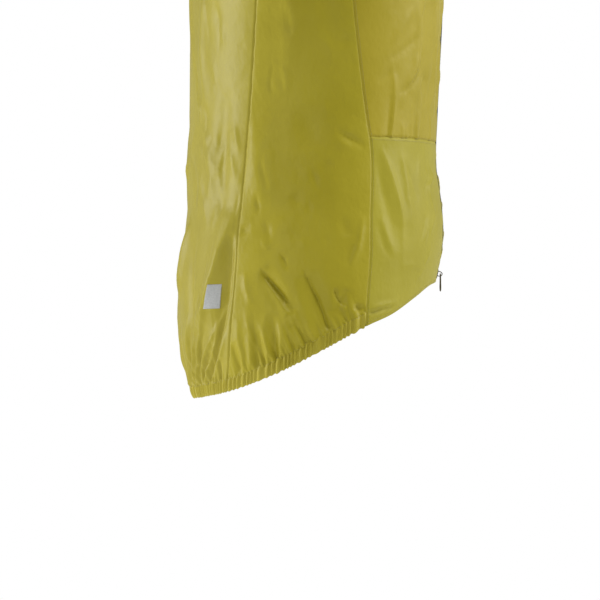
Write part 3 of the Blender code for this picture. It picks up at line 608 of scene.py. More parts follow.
def similar(creases, seen, seed, shift=5.0):
    """The same kind of creases on the other side, each moved and weighed a little differently."""
    random = np.random.default_rng(seed)
    rows = []
    for crease in creases:
        move = random.normal(0.0, shift, 2)
        path = [tuple(np.array(point) + move + random.normal(0.0, 1.0, 2)) for point in crease.path]
        if crease.held:
            path[0] = crease.path[0]
        rows.append(crease._replace(seen=seen, path=path, height=crease.height * random.uniform(0.7, 1.15),
                                    width=crease.width * random.uniform(0.9, 1.2)))
    return rows


def scattered(seen, count, across, z, lean, length, height, seed):
    """Small creases drawn at random inside a window of (across, z), leaning some degrees from upright."""
    random = np.random.default_rng(seed)
    rows = []
    for _ in range(count):
        middle = np.array([random.uniform(*across), random.uniform(*z)])
        angle = radians(random.normal(lean, 20))
        half = np.array([sin(angle), cos(angle)]) * random.uniform(*length) / 2
        bend = np.array([half[1], -half[0]]) * random.uniform(-0.3, 0.3)
        rows.append(Crease(seen, (middle - half, middle + bend, middle + half), random.uniform(2.2, 5.0),
                           random.uniform(*height) * random.choice((-1, 1)), 1.3, 1.5, False))
    return rows


# %% [markdown]
# ## Gathers
# The channel's elastic is shorter than the cloth sewn to it, so cloth and channel stand up in small
# waves of uneven height. Most die away within a centimetre above the channel, and some run on
# up the panel as creases that lean towards the back. One table of waves serves the channel and the
# panel above it, so that they meet.

# %% Gather waves
class Gathers:
    """Uneven waves along a stretch of hem: wave k has its own height and its own reach upwards."""

    def __init__(self, count, seed, lean):
        random = np.random.default_rng(seed)
        self.count, self.lean = count, lean
        self.offset = random.uniform(0.0, 1.0, 2)
        self.height = random.uniform(0.5, 1.25, count + 1)
        self.reach = random.uniform(6.0, 13.0, count + 1) * MM
        long_ones = random.permutation(count + 1)[: (count + 1) // 3]
        self.reach[long_ones] *= random.uniform(1.8, 3.6, len(long_ones))
        self.height[long_ones] *= 1.15

    def phase(self, u):
        wander = [size * np.sin(2 * pi * (pace * u + offset))
                  for size, pace, offset in zip((0.40, 0.22), (3.1, 7.3), self.offset)]
        return self.count * u + (wander[0] + wander[1])

    def wave(self, u):
        """cos^2 bump around each whole phase, and that wave's number."""
        phase = self.phase(u)
        number = np.clip(np.round(phase), 0, self.count).astype(int)
        return np.cos(pi * np.clip(phase - number, -0.5, 0.5)) ** 2, number

    def above(self, u, rise, length):
        """Relief of the panel at a height above the channel, in units of a full wave."""
        bump, number = self.wave(u - self.lean * rise / length)
        return (bump - 0.35) * self.height[number] * np.exp(-((rise / self.reach[number]) ** 1.4))


BACK_GATHERS = Gathers(56, 3, 0.0)
SIDE_GATHERS = {"R": Gathers(28, 8, 0.45), "L": Gathers(28, 21, 0.45)}
GATHER_OUT = 1.9 * MM  # how far a full wave stands out
print(f"gathers: {BACK_GATHERS.count} on the back, {SIDE_GATHERS['R'].count} on each side")

# %% [markdown]
# ## Where the creases lie
# These tables follow the photograph. On the back a broad ridge comes down from the waist beside the
# seam and swings to the tail, with a deep hollow behind it, and long pleats rise from the channel
# like the ribs of a fan. The side is smooth above and has long diagonal pinches below. The fronts
# hang in soft upright ridges from the level seam. What lies above the ribs or on the left isn't in
# the photograph: its rows are made up in the same manner, or are the right's rows, moved a little.

# %% Back creases
BACK_RIGHT = crease_rows(
    "R free",
    (11, 4.6, 1, 2, 86, 536, 90, 562, 95, 586, 106, 623, 116, 650),
    (10, -2.6, 1.2, 2, 86, 420, 90, 470, 92, 510, 95, 548),
    (8, -4.5, 1, 2, 80, 560, 84.5, 604, 93.5, 642, 105.5, 691),
    (11, -3, 1, 2, 118, 560, 124, 610, 120, 670),
    # the ridge's crest beside the seam, down to the tail
    (4, 1.8, 1.2, 1.5, 79, 538, 84, 559, 92, 585, 99, 606, 107, 629),
    # light streaks above it
    (2.6, 1, 1.2, 1.5, 79, 452, 76, 468, 73, 480),
    (2.8, 1.1, 1.2, 1.5, 84, 478, 79, 498, 75, 512),
    (3.4, 1, 1.3, 1.6, 90, 470, 95, 500, 91, 528),
    (3, 1.1, 1.3, 1.5, 108, 462, 102, 486, 96, 502),
    (4.5, 1, 1.3, 1.7, 114, 500, 108, 530, 104, 556),
    (5, -0.9, 1.3, 1.8, 126, 470, 118, 500, 116, 530),
    (3.5, 1.3, 1, 1.5, 98, 600, 107, 627, 115, 643, 118, 658),
    "R held",
    # edges of the deep hollow
    (2.4, 2.9, 1.2, 1.4, 107, 706, 105, 690, 101, 671, 98, 656, 94, 641, 88, 626),
    (2.9, -2.8, 1.3, 1.5, 103, 706, 100, 688, 96.5, 668, 93, 650, 88, 630, 82, 606),
    "R free",
    (2, 1.4, 1.2, 1.3, 77, 592, 80, 604, 85, 617),
    "R held",
    # long pleats that rise from the channel
    (2.4, 3.2, 1.7, 1.5, 115, 708, 116, 688, 115, 668, 111, 648, 106, 628),
    (2, -2.9, 1.6, 1.5, 112, 706, 113, 684, 113, 667, 109, 650),
    (2.2, 2.7, 1.5, 1.5, 111, 704, 111, 688, 107, 671, 100, 654, 96, 640),
    (1.7, -2.3, 1.5, 1.5, 109, 705, 108, 690, 104, 675),
    (2.4, 3.1, 1.9, 1.6, 118, 709, 120, 679, 120, 659, 117, 640, 112, 622),
    (2.2, -2.8, 1.6, 1.6, 121, 706, 124, 684, 126, 662, 124, 642),
    (2.4, 2.5, 1.7, 1.7, 123, 706, 126, 684, 128, 660, 127, 636),
    (1.7, 2.2, 1.5, 1.5, 100, 703, 98, 692, 95, 680),
    (1.7, -1.6, 1.2, 1.4, 92, 706, 92, 690, 92, 677),
    (2, 2, 1.6, 1.6, 96, 704, 95, 690, 91, 672, 88, 655),
    "R free",
    # small ones higher up
    (2.4, 0.8, 1, 1.5, 110, 462, 104, 466, 99, 475),
    (2.4, -0.8, 1, 1.5, 107, 457, 101, 467, 97, 476),
    (3.2, 1, 1, 1.6, 117, 474, 109, 478, 104, 491, 101, 505, 101, 516),
    (2.2, 0.6, 1, 1.5, 95, 491, 99, 499),
    (2, 0.8, 1, 1.4, 74, 537, 80, 549),
    (2, 0.8, 1, 1.4, 76, 549, 82, 561),
    (2, -0.8, 1, 1.4, 72, 520, 77, 537),
    (2, 0.6, 1, 1.4, 71, 500, 75, 511),
    "back free",
    # the fold that stands out on the far side and shows as a light strip
    (7, 2.6, 1.3, 1.8, -62, 548, -56, 575, -48, 600, -40, 622),
    "R free",
    (2.2, 0.9, 1, 1.4, 120, 606, 119, 618, 121, 630),
)
BACK_MIDDLE = crease_rows(  # over the spine and the tail
    "back held",
    (3, 1.6, 2.2, 1.6, -30, 708, -32, 672, -28, 640),
    (2.6, -1.2, 1.8, 1.6, -12, 710, -10, 680, -14, 655),
    (3.2, 1.7, 2.2, 1.6, 4, 710, 5, 668, 0, 628, 2, 600),
    (2.6, -1.2, 1.8, 1.6, 22, 709, 25, 684, 24, 664),
    (3, 1.5, 2.2, 1.6, 40, 709, 38, 672, 44, 634),
    (2.6, 1.2, 2, 1.6, -48, 709, -52, 680, -50, 652),
    "back free",
    (9, -0.7, 1.2, 2, -70, 520, -35, 536, 5, 530, 45, 540),
    (8, 0.5, 1.2, 2, -55, 480, -20, 494, 20, 488, 62, 500),
    (8, -0.5, 1.2, 2, -60, 440, -10, 452, 50, 444),
    (8, 1.8, 1.3, 2, 30, 560, 24, 590, 30, 622),
    (7, -1.5, 1.3, 2, -20, 555, -24, 585, -20, 612),
    (6, 1.7, 1.8, 1.8, 118, 118, 84, 150, 46, 172, 8, 182),
    (6, 1.6, 1.8, 1.8, -118, 118, -88, 158, -54, 186, -16, 206),
    (5, -1.4, 1.5, 1.7, -124, 92, -108, 126, -92, 172),
    (5, -1.3, 1.5, 1.7, 122, 90, 104, 120, 84, 150),
    (7, 2.1, 1.4, 1.8, -140, 190, -112, 250, -92, 320),
    (7, 2, 1.4, 1.8, 140, 190, 116, 246, 98, 310),
    (5, -1.6, 1.4, 1.7, -148, 232, -124, 268, -112, 320),
    (5, -1.5, 1.4, 1.7, 148, 226, 128, 262, 118, 306),
    (8, 1.9, 1.2, 2, -60, 260, -48, 330, -58, 400),
    (8, 1.9, 1.2, 2, 56, 280, 64, 350, 52, 415),
    (9, -1.7, 1.2, 2, 0, 230, 6, 300, -4, 380),
    (6, 1.6, 1.3, 1.8, -96, 330, -88, 384, -98, 440),
    (6, 1.5, 1.3, 1.8, 92, 320, 98, 372, 88, 430),
)
BACK_CREASES = (BACK_RIGHT + similar(BACK_RIGHT, "L", 5) + BACK_MIDDLE
                + scattered("back", 60, (-125, 125), (-690, -430), 5, (12, 46), (0.4, 1.1), 11)
                + scattered("back", 70, (-130, 130), (-425, -90), 10, (18, 70), (0.5, 1.5), 12)
                + scattered("R", 16, (78, 112), (-640, -440), -15, (8, 22), (0.3, 0.7), 13)
                + scattered("L", 16, (78, 112), (-640, -440), -15, (8, 22), (0.3, 0.7), 14))
BACK_CREASES = [crease._replace(seen="back") if crease.seen == "L" and crease.path[0][0] < 0 else crease
                for crease in BACK_CREASES]

# %% Side creases
SIDE_RIGHT = crease_rows(
    "R free",
    (8, -2.5, 1, 2, 51, 594, 36, 618, 22, 637),
    (9, -2.5, 1, 2, 10, 598, -4, 630, -13, 651),
    (14, 2, 1, 2, 56, 450, 50, 530),
    # the two long diagonal pinches
    (1.9, -1.8, 1.2, 1.25, 53, 593, 44, 606, 34, 617, 27, 626),
    (3.2, 1.7, 1.2, 1.6, 50, 603, 39, 618, 29, 634, 20, 646),
    (1.9, -2.2, 1, 1.25, 12, 594, 4, 610, -2, 621, -7, 634, -11, 646, -20, 663),
    (2.8, 1.4, 1, 1.6, 7, 602, -3, 620, -10, 640, -17, 652),
    (1.8, -1.8, 1, 1.25, -18, 612, -21, 621, -27, 629),
    (2.4, 0.9, 1, 1.6, -20, 616, -24, 627, -29, 633),
    "R held",
    # hollows and ridges that come up from the channel
    (4, -1.6, 1.4, 1.7, 34, 684, 38, 670, 39, 658, 42, 636),
    (2.8, 1.3, 1.4, 1.6, 32, 682, 34, 668, 34, 656, 36, 640),
    (3, -1.1, 1.4, 1.6, 56, 688, 57, 672, 58, 656, 61, 640),
    (3.6, 1, 1.6, 1.7, 62, 690, 62, 668, 64, 648, 66, 626),
    (2.4, -1.2, 1.3, 1.4, 6, 670, 11, 660, 18, 649, 22, 640),
    (2.2, 0.9, 1.3, 1.5, 12, 674, 17, 662, 24, 650),
    (2, 0.9, 1.2, 1.5, -22, 656, -14, 642, -8, 632),
    (2, -0.8, 1.2, 1.5, 74, 690, 79, 672, 83, 662),
    (2.6, 1.2, 1.7, 1.5, 44, 686, 47, 668, 50, 650, 48, 634),
    (2.2, -1.2, 1.5, 1.4, 48, 687, 52, 668, 54, 652),
    (2.6, 1.2, 1.6, 1.5, 68, 693, 70, 676, 74, 660, 75, 640),
    (2, -1.2, 1.4, 1.4, 72, 694, 74, 680, 79, 664),
    (2.4, 1.1, 1.6, 1.5, 24, 681, 26, 668, 31, 654, 31, 642),
    (2, -1, 1.4, 1.4, 19, 679, 21, 668, 27, 656),
    (2.2, 1, 1.4, 1.5, -2, 667, 3, 656, 10, 646),
    (2, -1.1, 1.4, 1.4, -34, 650, -27, 640, -22, 630),
    "R free",
    (2.6, -0.9, 1, 1.5, 28, 637, 22, 642),
    (3.2, -1.4, 1, 1.6, -38, 628, -44, 633, -49, 637),
    (2.2, 0.8, 1, 1.5, -36, 634, -43, 640),
    (4, -1.2, 1.2, 1.7, -30, 612, -25, 624, -17, 637),
    (3.4, 0.8, 1, 1.7, 68, 596, 66, 612, 62, 628),
    (3.4, 0.9, 1, 1.7, -33, 590, -41, 570, -45, 543),
    (3, -0.6, 1, 1.7, -30, 590, -36, 570),
    (2.8, -0.7, 1, 1.6, 32, 581, 27, 594),
    # faint dents higher up
    (2.8, -1.1, 1, 1.4, -19, 463, -33, 469, -47, 476),
    (3.4, 0.5, 1, 1.7, -20, 469, -34, 476),
    (3, -0.7, 1, 1.6, 52, 488, 49, 505, 45, 518),
    (2.2, 0.4, 1, 1.5, 49, 487, 39, 484),
    (2.6, -0.6, 1, 1.6, 57, 522, 54, 540),
    (2.6, -0.6, 1, 1.6, 5, 501, -3, 516),
    (3.6, -0.6, 1, 1.8, -4, 500, -14, 490),
    (5, -0.7, 1, 2, 22, 522, 16, 532),
    (2.6, -0.5, 1, 1.6, 9, 531, 4, 541),
    (2.2, -0.8, 1, 1.4, 73, 557, 62, 554),
    (3.4, -0.6, 1, 1.7, 50, 548, 43, 563),
    (2.2, 0.6, 1, 1.5, 52, 566, 45, 575),
    (2.2, -0.5, 1, 1.5, 35, 578, 29, 586),
    (9, 0.8, 1, 2, 44, 561, 29, 551, 15, 543),
    (5, -0.7, 1, 2, -25, 543, -31, 563),
    (12, -1.2, 1, 2, 10, 440, 4, 480),
    (9, 1.2, 1.2, 2, 30, 300, 24, 350, 28, 400),
    (8, -1.1, 1.2, 2, -12, 270, -8, 320, -14, 372),
    (5, 0.9, 1.4, 1.8, 6, 262, 4, 296, 10, 326),
)
SIDE_CREASES = {
    "R": SIDE_RIGHT + scattered("R", 22, (-40, 66), (-420, -270), 8, (12, 32), (0.2, 0.55), 31)
    + scattered("R", 18, (-42, 70), (-600, -430), 15, (8, 22), (0.12, 0.35), 33),
    "L": similar(SIDE_RIGHT, "L", 17)
    + scattered("L", 30, (-40, 66), (-600, -270), 8, (10, 30), (0.2, 0.5), 32),
}

# %% Front creases
FRONT_RIGHT = crease_rows(
    "R free",
    (9, 1.1, 1, 2, -64, 480, -78, 525, -83, 552),
    (8, 0.9, 1, 2, -85, 482, -88, 520, -94, 560),
    # soft upright ridges and hollows under the level seam
    (3.4, 1, 1.4, 1.6, -62, 474, -68, 490, -73, 504, -77, 518, -80, 530, -83, 545, -84, 575, -84, 598),
    (5.5, -0.9, 1.2, 1.8, -59, 482, -63, 508, -66, 524, -72, 545, -77, 566),
    (3.4, 1, 1.3, 1.6, -82, 477, -85, 497, -87, 510, -88, 523, -92, 536, -93, 553),
    (3, -0.9, 1.2, 1.6, -88, 494, -94, 507, -97, 518, -101, 526),
    (3.4, 0.8, 1, 1.7, -101, 482, -100, 500, -102, 512),
    (4, 0.8, 1.2, 1.7, -62, 542, -69, 564, -77, 582),
    (3.6, -0.6, 1.2, 1.7, -60, 548, -64, 566, -70, 582),
    # a zigzag of puckers beside the zip
    (1.9, 1.3, 1, 1.4, -110, 489, -115, 502, -111, 512, -113, 524, -117, 536),
    (2, -1, 1, 1.5, -106, 492, -110, 503, -107, 514, -109, 526),
    (2.2, 1.2, 1, 1.4, -111, 540, -109, 552, -106, 566),
    (2.2, -0.9, 1, 1.5, -107, 540, -105, 554, -102, 566),
    (2, 1.1, 1, 1.4, -118, 538, -115, 548, -112, 558),
    (2.4, 0.7, 1, 1.5, -113, 570, -110, 580, -106, 588),
    "R held",
    # two shallow folds beside the front hem, and a few faint ones
    (2, 1.3, 1, 1.4, -51, 631, -64, 628, -80, 625),
    (1.7, -1.4, 1, 1.4, -52, 635, -64, 632, -76, 629),
    (1.8, 1, 1, 1.5, -52, 639, -64, 635, -76, 631),
    "R free",
    (3.4, 0.5, 1, 1.7, -82, 588, -98, 590, -109, 593),
    (3.4, 0.5, 1, 1.7, -106, 595, -97, 603),
)
ZIP_PUCKERS = crease_rows(  # beside the zip, in uneven turns
    "front held",
    (2.6, 0.9, 1.6, 1.5, 7, 478, 14, 486, 26, 492),
    (2.8, -0.8, 1.6, 1.5, 7, 492, 16, 501, 30, 505),
    (2.8, 1.2, 1.7, 1.5, 7, 501, 15, 511, 31, 520),
    (2.8, -0.9, 1.6, 1.5, 7, 516, 18, 520, 34, 517),
    (2.8, 1.1, 1.7, 1.5, 7, 527, 16, 534, 29, 548),
    (2.6, -0.8, 1.6, 1.5, 7, 541, 15, 552, 24, 565),
    (2.6, 0.8, 1.6, 1.5, 7, 556, 18, 563, 33, 568),
    (2.6, 0.6, 1.6, 1.6, 7, 572, 17, 580, 28, 590),
)
UPPER_RIGHT = crease_rows(
    "R held",
    # folds that hang into the level seam
    (2, 1.5, 1.8, 1.3, -72, 466, -74, 450, -76, 425, -74, 395),
    (2.4, -1.1, 1.8, 1.5, -70, 466, -71, 450, -72, 425),
    (2.6, 1.2, 2, 1.5, -98, 466, -99, 450, -101, 420, -98, 385),
    (2.4, -0.8, 1.8, 1.5, -95, 466, -96, 450, -97, 425),
    (1.9, 0.9, 1.3, 1.4, -84, 466, -84, 458, -83, 450),
    (1.8, 0.8, 1.3, 1.4, -88, 466, -88, 458, -89, 452),
    (1.8, -0.6, 1.3, 1.4, -91, 466, -92, 455),
    (2.2, 0.9, 1.5, 1.4, -112, 466, -113, 452, -112, 435),
    (2, 0.5, 1.3, 1.5, -62, 466, -62, 456),
)
CHEST_RIGHT = crease_rows(  # seen from the front
    "front free",
    (9, 1.6, 1.6, 2, -150, 180, -112, 210, -70, 226, -30, 232),
    (10, 1.5, 1.5, 2, -152, 225, -118, 262, -78, 284, -40, 296),
    (8, 1.2, 1.5, 2, -134, 110, -104, 142, -66, 160, -26, 168),
    (9, 1.5, 1.3, 2, -96, 300, -78, 350, -84, 410),
    (9, -1.4, 1.3, 2, -46, 310, -38, 365, -46, 420),
    "front held",
    (3.2, 0.9, 1.6, 1.6, -6, 180, -16, 188, -30, 186),
    (3.2, -0.8, 1.6, 1.6, -6, 214, -18, 220, -32, 230),
    (3.2, 0.9, 1.6, 1.6, -6, 246, -16, 256, -30, 260),
    (3.2, -0.8, 1.6, 1.6, -6, 288, -18, 294, -34, 290),
    (3.2, 1, 1.6, 1.6, -6, 322, -16, 332, -28, 344),
    (3.2, -0.8, 1.6, 1.6, -6, 362, -18, 368, -34, 376),
    (3.2, 0.9, 1.6, 1.6, -6, 396, -16, 404, -30, 402),
    (3.2, -0.8, 1.6, 1.6, -6, 432, -18, 440, -30, 450),
    (3, -0.7, 1.6, 1.6, -6, 142, -16, 150, -28, 148),
    (3, 0.7, 1.6, 1.6, -6, 108, -16, 116, -26, 122),
    "front free",
    # from the shoulder and the armhole's foot
    (5, 1.7, 1.5, 1.7, -128, 84, -112, 120, -98, 168),
    (4.5, -1.5, 1.5, 1.7, -112, 74, -100, 108, -86, 146),
    (4.5, 1.3, 1.5, 1.7, -98, 66, -90, 92, -72, 122),
    (4, 1.9, 1.5, 1.6, -156, 236, -132, 256, -104, 264),
    (3.6, -1.7, 1.5, 1.6, -158, 250, -134, 272, -108, 286),
    (4.2, 1.6, 1.5, 1.6, -160, 268, -140, 292, -122, 322),
    (5.5, 1.7, 1.3, 1.8, -122, 330, -114, 376, -120, 424),
    (5, 1.5, 1.3, 1.8, -62, 330, -68, 384, -60, 444),
    (4.5, -1.3, 1.3, 1.8, -26, 346, -30, 396, -22, 446),
)


def flipped(creases):
    """Creases seen from the front, on the other side of the zip."""
    return [crease._replace(path=[(-x, z) for x, z in crease.path]) for crease in creases]


LOWER_CREASES = {
    "R": FRONT_RIGHT + flipped(ZIP_PUCKERS),
    "L": similar(FRONT_RIGHT, "L", 41, 4.0) + similar(ZIP_PUCKERS, "front", 42, 3.0),
}
UPPER_CREASES = {
    "R": UPPER_RIGHT + CHEST_RIGHT
    + scattered("front", 40, (-150, -20), (-440, -110), 20, (18, 66), (0.5, 1.4), 51),
    "L": similar(UPPER_RIGHT, "L", 43, 3.0) + similar(flipped(CHEST_RIGHT), "front", 44, 5.0)
    + scattered("front", 40, (20, 150), (-440, -110), -20, (18, 66), (0.5, 1.4), 52),
}
print(f"creases: {len(BACK_CREASES)} on the back, {len(SIDE_CREASES['R'])} on the right side")

# %% [markdown]
# ## Materials
# The shell is a fine, tightly woven nylon, olive yellow, smooth enough to have a soft satin shine
# and light enough to look chalky where it turns away. The weave is finer than a pixel, so it is a
# faint bump on the cloth's own map, in metres. Larger bumps crumple the satin a little, and slow
# noise shifts the dye. The other looks are a matt zip tape, lacquered metal and grey film.

# %% Node helpers
def set_inputs(node, **values):
    for name, value in values.items():
        node.inputs[name.replace("_", " ")].default_value = value


def new_look(name, roughness, specular=0.4, sheen=0.0, sheen_roughness=0.5, sheen_tint=(1, 1, 1, 1),
             metallic=0.0):
    look = bpy.data.materials.new(name)
    look.use_nodes = True
    shader = look.node_tree.nodes["Principled BSDF"]
    set_inputs(shader, Roughness=roughness, Specular_IOR_Level=specular, Metallic=metallic,
               Sheen_Weight=sheen, Sheen_Roughness=sheen_roughness, Sheen_Tint=sheen_tint)
    return look, shader


def add_node(look, kind, **settings):
    node = look.node_tree.nodes.new(kind)
    for key, value in settings.items():
        if key in node.inputs:
            node.inputs[key].default_value = value
        else:
            setattr(node, key, value)
    return node


def link(look, start, end):
    look.node_tree.links.new(start, end)


def noise(look, source, scale, detail=3.0, stretch=(1, 1, 1)):
    """Noise on a stretched copy of a coordinate."""
    mapping = add_node(look, "ShaderNodeMapping", Scale=stretch)
    texture = add_node(look, "ShaderNodeTexNoise", Scale=scale, Detail=detail)
    link(look, source, mapping.inputs["Vector"])
    link(look, mapping.outputs["Vector"], texture.inputs["Vector"])
    return texture.outputs["Fac"]


def colour_ramp(look, source, stops):
    ramp = add_node(look, "ShaderNodeValToRGB")
    for element, (place, colour) in zip(ramp.color_ramp.elements, stops):
        element.position = place
        element.color = (*colour, 1)
    link(look, source, ramp.inputs["Fac"])
    return ramp.outputs["Color"]


def stack_bumps(look, shader, layers):
    """Bumps in a row, each a height texture with its depth in metres."""
    before = None
    for height, depth_m in layers:
        bump = add_node(look, "ShaderNodeBump", Strength=1.0, Distance=depth_m)
        link(look, height, bump.inputs["Height"])
        if before:
            link(look, before, bump.inputs["Normal"])
        before = bump.outputs["Normal"]
    link(look, before, shader.inputs["Normal"])


# %% Shell cloth
THREADS = 870.0  # the wave texture's scale on a map in metres


def woven_cloth(name, dark, light, roughness, sheen, crumple_depth=0.7 * MM, specular=0.22):
    look, shader = new_look(name, roughness, specular, sheen, 0.45, (1.0, 0.95, 0.55, 1))
    coordinates = add_node(look, "ShaderNodeTexCoord")
    place, cloth_map = coordinates.outputs["Object"], coordinates.outputs["UV"]
    dye = noise(look, place, 14, 4)
    link(look, colour_ramp(look, dye, ((0.30, dark), (0.72, light))), shader.inputs["Base Color"])
    crumple = noise(look, place, 62, 2.0)
    dents = noise(look, place, 150, 3, (1, 1, 0.7))
    weave = add_node(look, "ShaderNodeMath", operation="MULTIPLY")
    for socket, direction in enumerate("XY"):
        wave = add_node(look, "ShaderNodeTexWave", Scale=THREADS, bands_direction=direction,
                        wave_profile="SIN")
        link(look, cloth_map, wave.inputs["Vector"])
        link(look, wave.outputs["Fac"], weave.inputs[socket])
    stack_bumps(look, shader, ((crumple, crumple_depth), (dents, 0.4 * crumple_depth),
                               (weave.outputs["Value"], 0.006 * MM)))
    return look


# Copies of one shell cloth: the side panels' copy is the most saturated, as painted shade for the sides that
# face the lens, and the lower fronts' copy is a little lighter, as painted light.
shell_cloth = woven_cloth("shell_cloth", (0.345, 0.290, 0.012), (0.395, 0.335, 0.020), 0.46, 0.14, 1.0 * MM)
back_cloth = woven_cloth("back_cloth", (0.340, 0.286, 0.016), (0.395, 0.335, 0.026), 0.46, 0.22,
                         specular=0.28)
painted_light_front_cloth = woven_cloth("painted_light_front_cloth", (0.345, 0.300, 0.018), (0.395, 0.346, 0.028), 0.50, 0.14)
upper_cloth = woven_cloth("upper_cloth", (0.355, 0.286, 0.014), (0.405, 0.326, 0.022), 0.50, 0.12)
# The channel's and bindings' cloth is lighter than the shell: painted light for the gathered channel's puffs.
elastic_cloth = woven_cloth("elastic_cloth", (0.380, 0.322, 0.022), (0.430, 0.366, 0.036), 0.46, 0.18,
                            0.35 * MM)

# %% Thread, tape, metal and film
def speckled(look, shader, flecks, stops, grain, depth_m):
    """Flecks in the colour and a finer bump; flecks and grain are a noise's scale and detail."""
    place = add_node(look, "ShaderNodeTexCoord").outputs["Object"]
    link(look, colour_ramp(look, noise(look, place, *flecks), stops), shader.inputs["Base Color"])
    stack_bumps(look, shader, ((noise(look, place, *grain), depth_m),))


thread_look, thread_shader = new_look("thread", 0.55, 0.4, 0.3)
set_inputs(thread_shader, Base_Color=(0.40, 0.345, 0.070, 1))

tape_look = woven_cloth("zip_tape", (0.050, 0.050, 0.040), (0.072, 0.070, 0.056), 0.75, 0.1, 0.05 * MM)
coil_look = woven_cloth("zip_coil", (0.085, 0.083, 0.065), (0.120, 0.116, 0.092), 0.42, 0.0, 0.02 * MM)

metal_look, metal_shader = new_look("zip_metal", 0.42, 0.35, metallic=0.45)
speckled(metal_look, metal_shader, (900, 4), ((0.35, (0.075, 0.063, 0.022)), (0.75, (0.120, 0.100, 0.038))),
         (2500, 2), 0.01 * MM)
film_look, film_shader = new_look("reflective_film", 0.36, 0.5, metallic=0.15)
speckled(film_look, film_shader, (600, 3), ((0.3, (0.36, 0.37, 0.36)), (0.7, (0.45, 0.46, 0.45))),
         (1500, 2), 0.02 * MM)

# %% [markdown]
# ## The panels
# Each panel takes its surface, adds its creases along the normal, then the gathers above the
# channel, and last dips into the seams on each side, with small uneven puckers where the thread
# draws the cloth in. The result keeps its points, because stitches and the tab are laid on them.

# %% Seam dips and finished panels
Panel = namedtuple("Panel", "made points normals across up")


def pucker(run, seed):
    """Uneven ripples along a seam, from -1 to 1."""
    return (0.6 * np.sin(run / (1.35 * MM) + seed) + 0.4 * np.sin(run / (0.83 * MM) + 2.1 * seed)
            + 0.5 * np.sin(run / (3.7 * MM) + 0.7 * seed)) / 1.5


def seam_dip(gap, run, depth_mm, seed, pucker_mm=0.30):
    """A groove at the seam, and puckers that die away within a few millimetres of it."""
    puckers = pucker_mm * MM * pucker(run, seed) * np.exp(-gap / (3.2 * MM))
    return -(depth_mm * MM) * bell(gap, 1.1 * MM) + puckers


def faded(least, gap, reach_mm):
    """How much of the creases is left this near to an edge."""
    return least + (1 - least) * ease(gap / (reach_mm * MM))


def zip_edge(zip_gap, rise, seed):
    """The fronts' edge beside the zip: it dips to the tape and is puckered by its stitches."""
    return 0.25 * MM * pucker(rise, seed) * np.exp(-zip_gap / (4 * MM)) - ZIP_DIP * bell(zip_gap, 2.5 * MM)


def finish_panel(name, points, relief, look, nodes, across, up, **cloth):
    normals = grid_normals(points)
    moved = points + normals * relief[..., None]
    made = add_cloth(name, moved, look, nodes, **cloth)
    return Panel(made, moved, grid_normals(moved), across, up)


# %% Back
BACK_WIDTH, BACK_RISE = 0.40, 0.66  # along the cloth, to space the grid's lines
TAIL_SINK, TAIL_SINK_TOP_Z = 2.0 * MM, -0.565  # the tail's ridges rise from a little inside the form


def tail_sink(from_seam, z):
    return TAIL_SINK * ease((TAIL_SINK_TOP_Z - z) / (60 * MM)) * ease(from_seam / (45 * MM))


back_across = stations(BACK_WIDTH, 1.55 * MM)
back_up = stations(BACK_RISE, 4.8 * MM, 0.075, 2.0 * MM)
back_base = back_surface(back_across[None, :], back_up[:, None])
right_gap, left_gap, rise, fall = edge_distances(back_base)
hem_length = edge_distances(back_base[:1])[0][0, -1]
u_back = right_gap[:1] / hem_length
side_gap = np.minimum(right_gap, left_gap)
back_relief = crease_relief(back_base, BACK_CREASES) * faded(0.25, side_gap, 8)
back_relief *= faded(0.35, fall, 20) * faded(0.5, rise, 6)
back_relief += GATHER_OUT * BACK_GATHERS.above(u_back, rise, hem_length)
back_relief -= tail_sink(side_gap, back_base[..., 2])
back_relief += seam_dip(right_gap, rise, 0.9, 1.0) + seam_dip(left_gap, rise, 0.9, 2.0)
back_relief += seam_dip(rise, right_gap, 0.25, 3.0, 0.0) + seam_dip(fall, right_gap, 0.6, 4.0, 0.1)
back = finish_panel("back_cloth", back_base, back_relief, back_cloth, ["back_panel"], back_across, back_up,
                    turned=("left", "right", "high"))

# %% Sides
sides = {}
SIDE_WIDTH, SIDE_RISE = 0.140, 0.42
SIDE_STRENGTH = 1.55
side_across = stations(SIDE_WIDTH, 1.15 * MM)
side_up = stations(SIDE_RISE, 3.6 * MM, 0.11, 1.7 * MM)
for label, side in SIDES:
    base = side_surface(side)(side_across[None, :], side_up[:, None])
    front_gap, back_gap, rise, fall = edge_distances(base)
    length = edge_distances(base[:1])[0][0, -1]
    relief = SIDE_STRENGTH * crease_relief(base, SIDE_CREASES[label])
    relief *= faded(0.3, np.minimum(front_gap, back_gap), 7) * faded(0.3, fall, 15) * faded(0.25, rise, 9)
    relief += GATHER_OUT * SIDE_GATHERS[label].above(front_gap[:1] / length, rise, length)
    relief += seam_dip(front_gap, rise, 0.8, 5.0, 0.16) + seam_dip(back_gap, rise, 0.9, 6.0)
    relief += seam_dip(rise, front_gap, 0.25, 7.0, 0.0) + seam_dip(fall, front_gap, 0.5, 8.0, 0.2)
    sides[label] = finish_panel(f"side_cloth_{label}", base, relief, shell_cloth, [f"side_panel_{label}"],
                                side_across, side_up, turned=("left", "right", "high"))

# %% [markdown]
# ## The fronts and their turned hem
# The front hem has no channel: the cloth is turned in once and stitched close to the fold, which
# shows as a narrow light edge. The grid simply goes on round the fold and a few millimetres up the
# inside, so the edge has its real double thickness.

# %% Fronts
lower_fronts, upper_fronts = {}, {}
FRONT_WIDTH, LOWER_RISE, UPPER_RISE = 0.160, 0.150, 0.45
TURN_UP = 6.0 * MM  # how far the hem is turned up inside
FOLD_RADIUS = 0.45 * MM
FOLD_STEPS = 7
ZIP_DIP = 0.5 * MM
EDGE_TUCK = {"R": -3.8 * MM, "L": 0.8 * MM}  # beside the zip: the right front draws in, the left stays out
TUCK_LOW_Z, TUCK_HIGH_Z = -0.590, -0.474  # where the zip and the right front's edge draw back


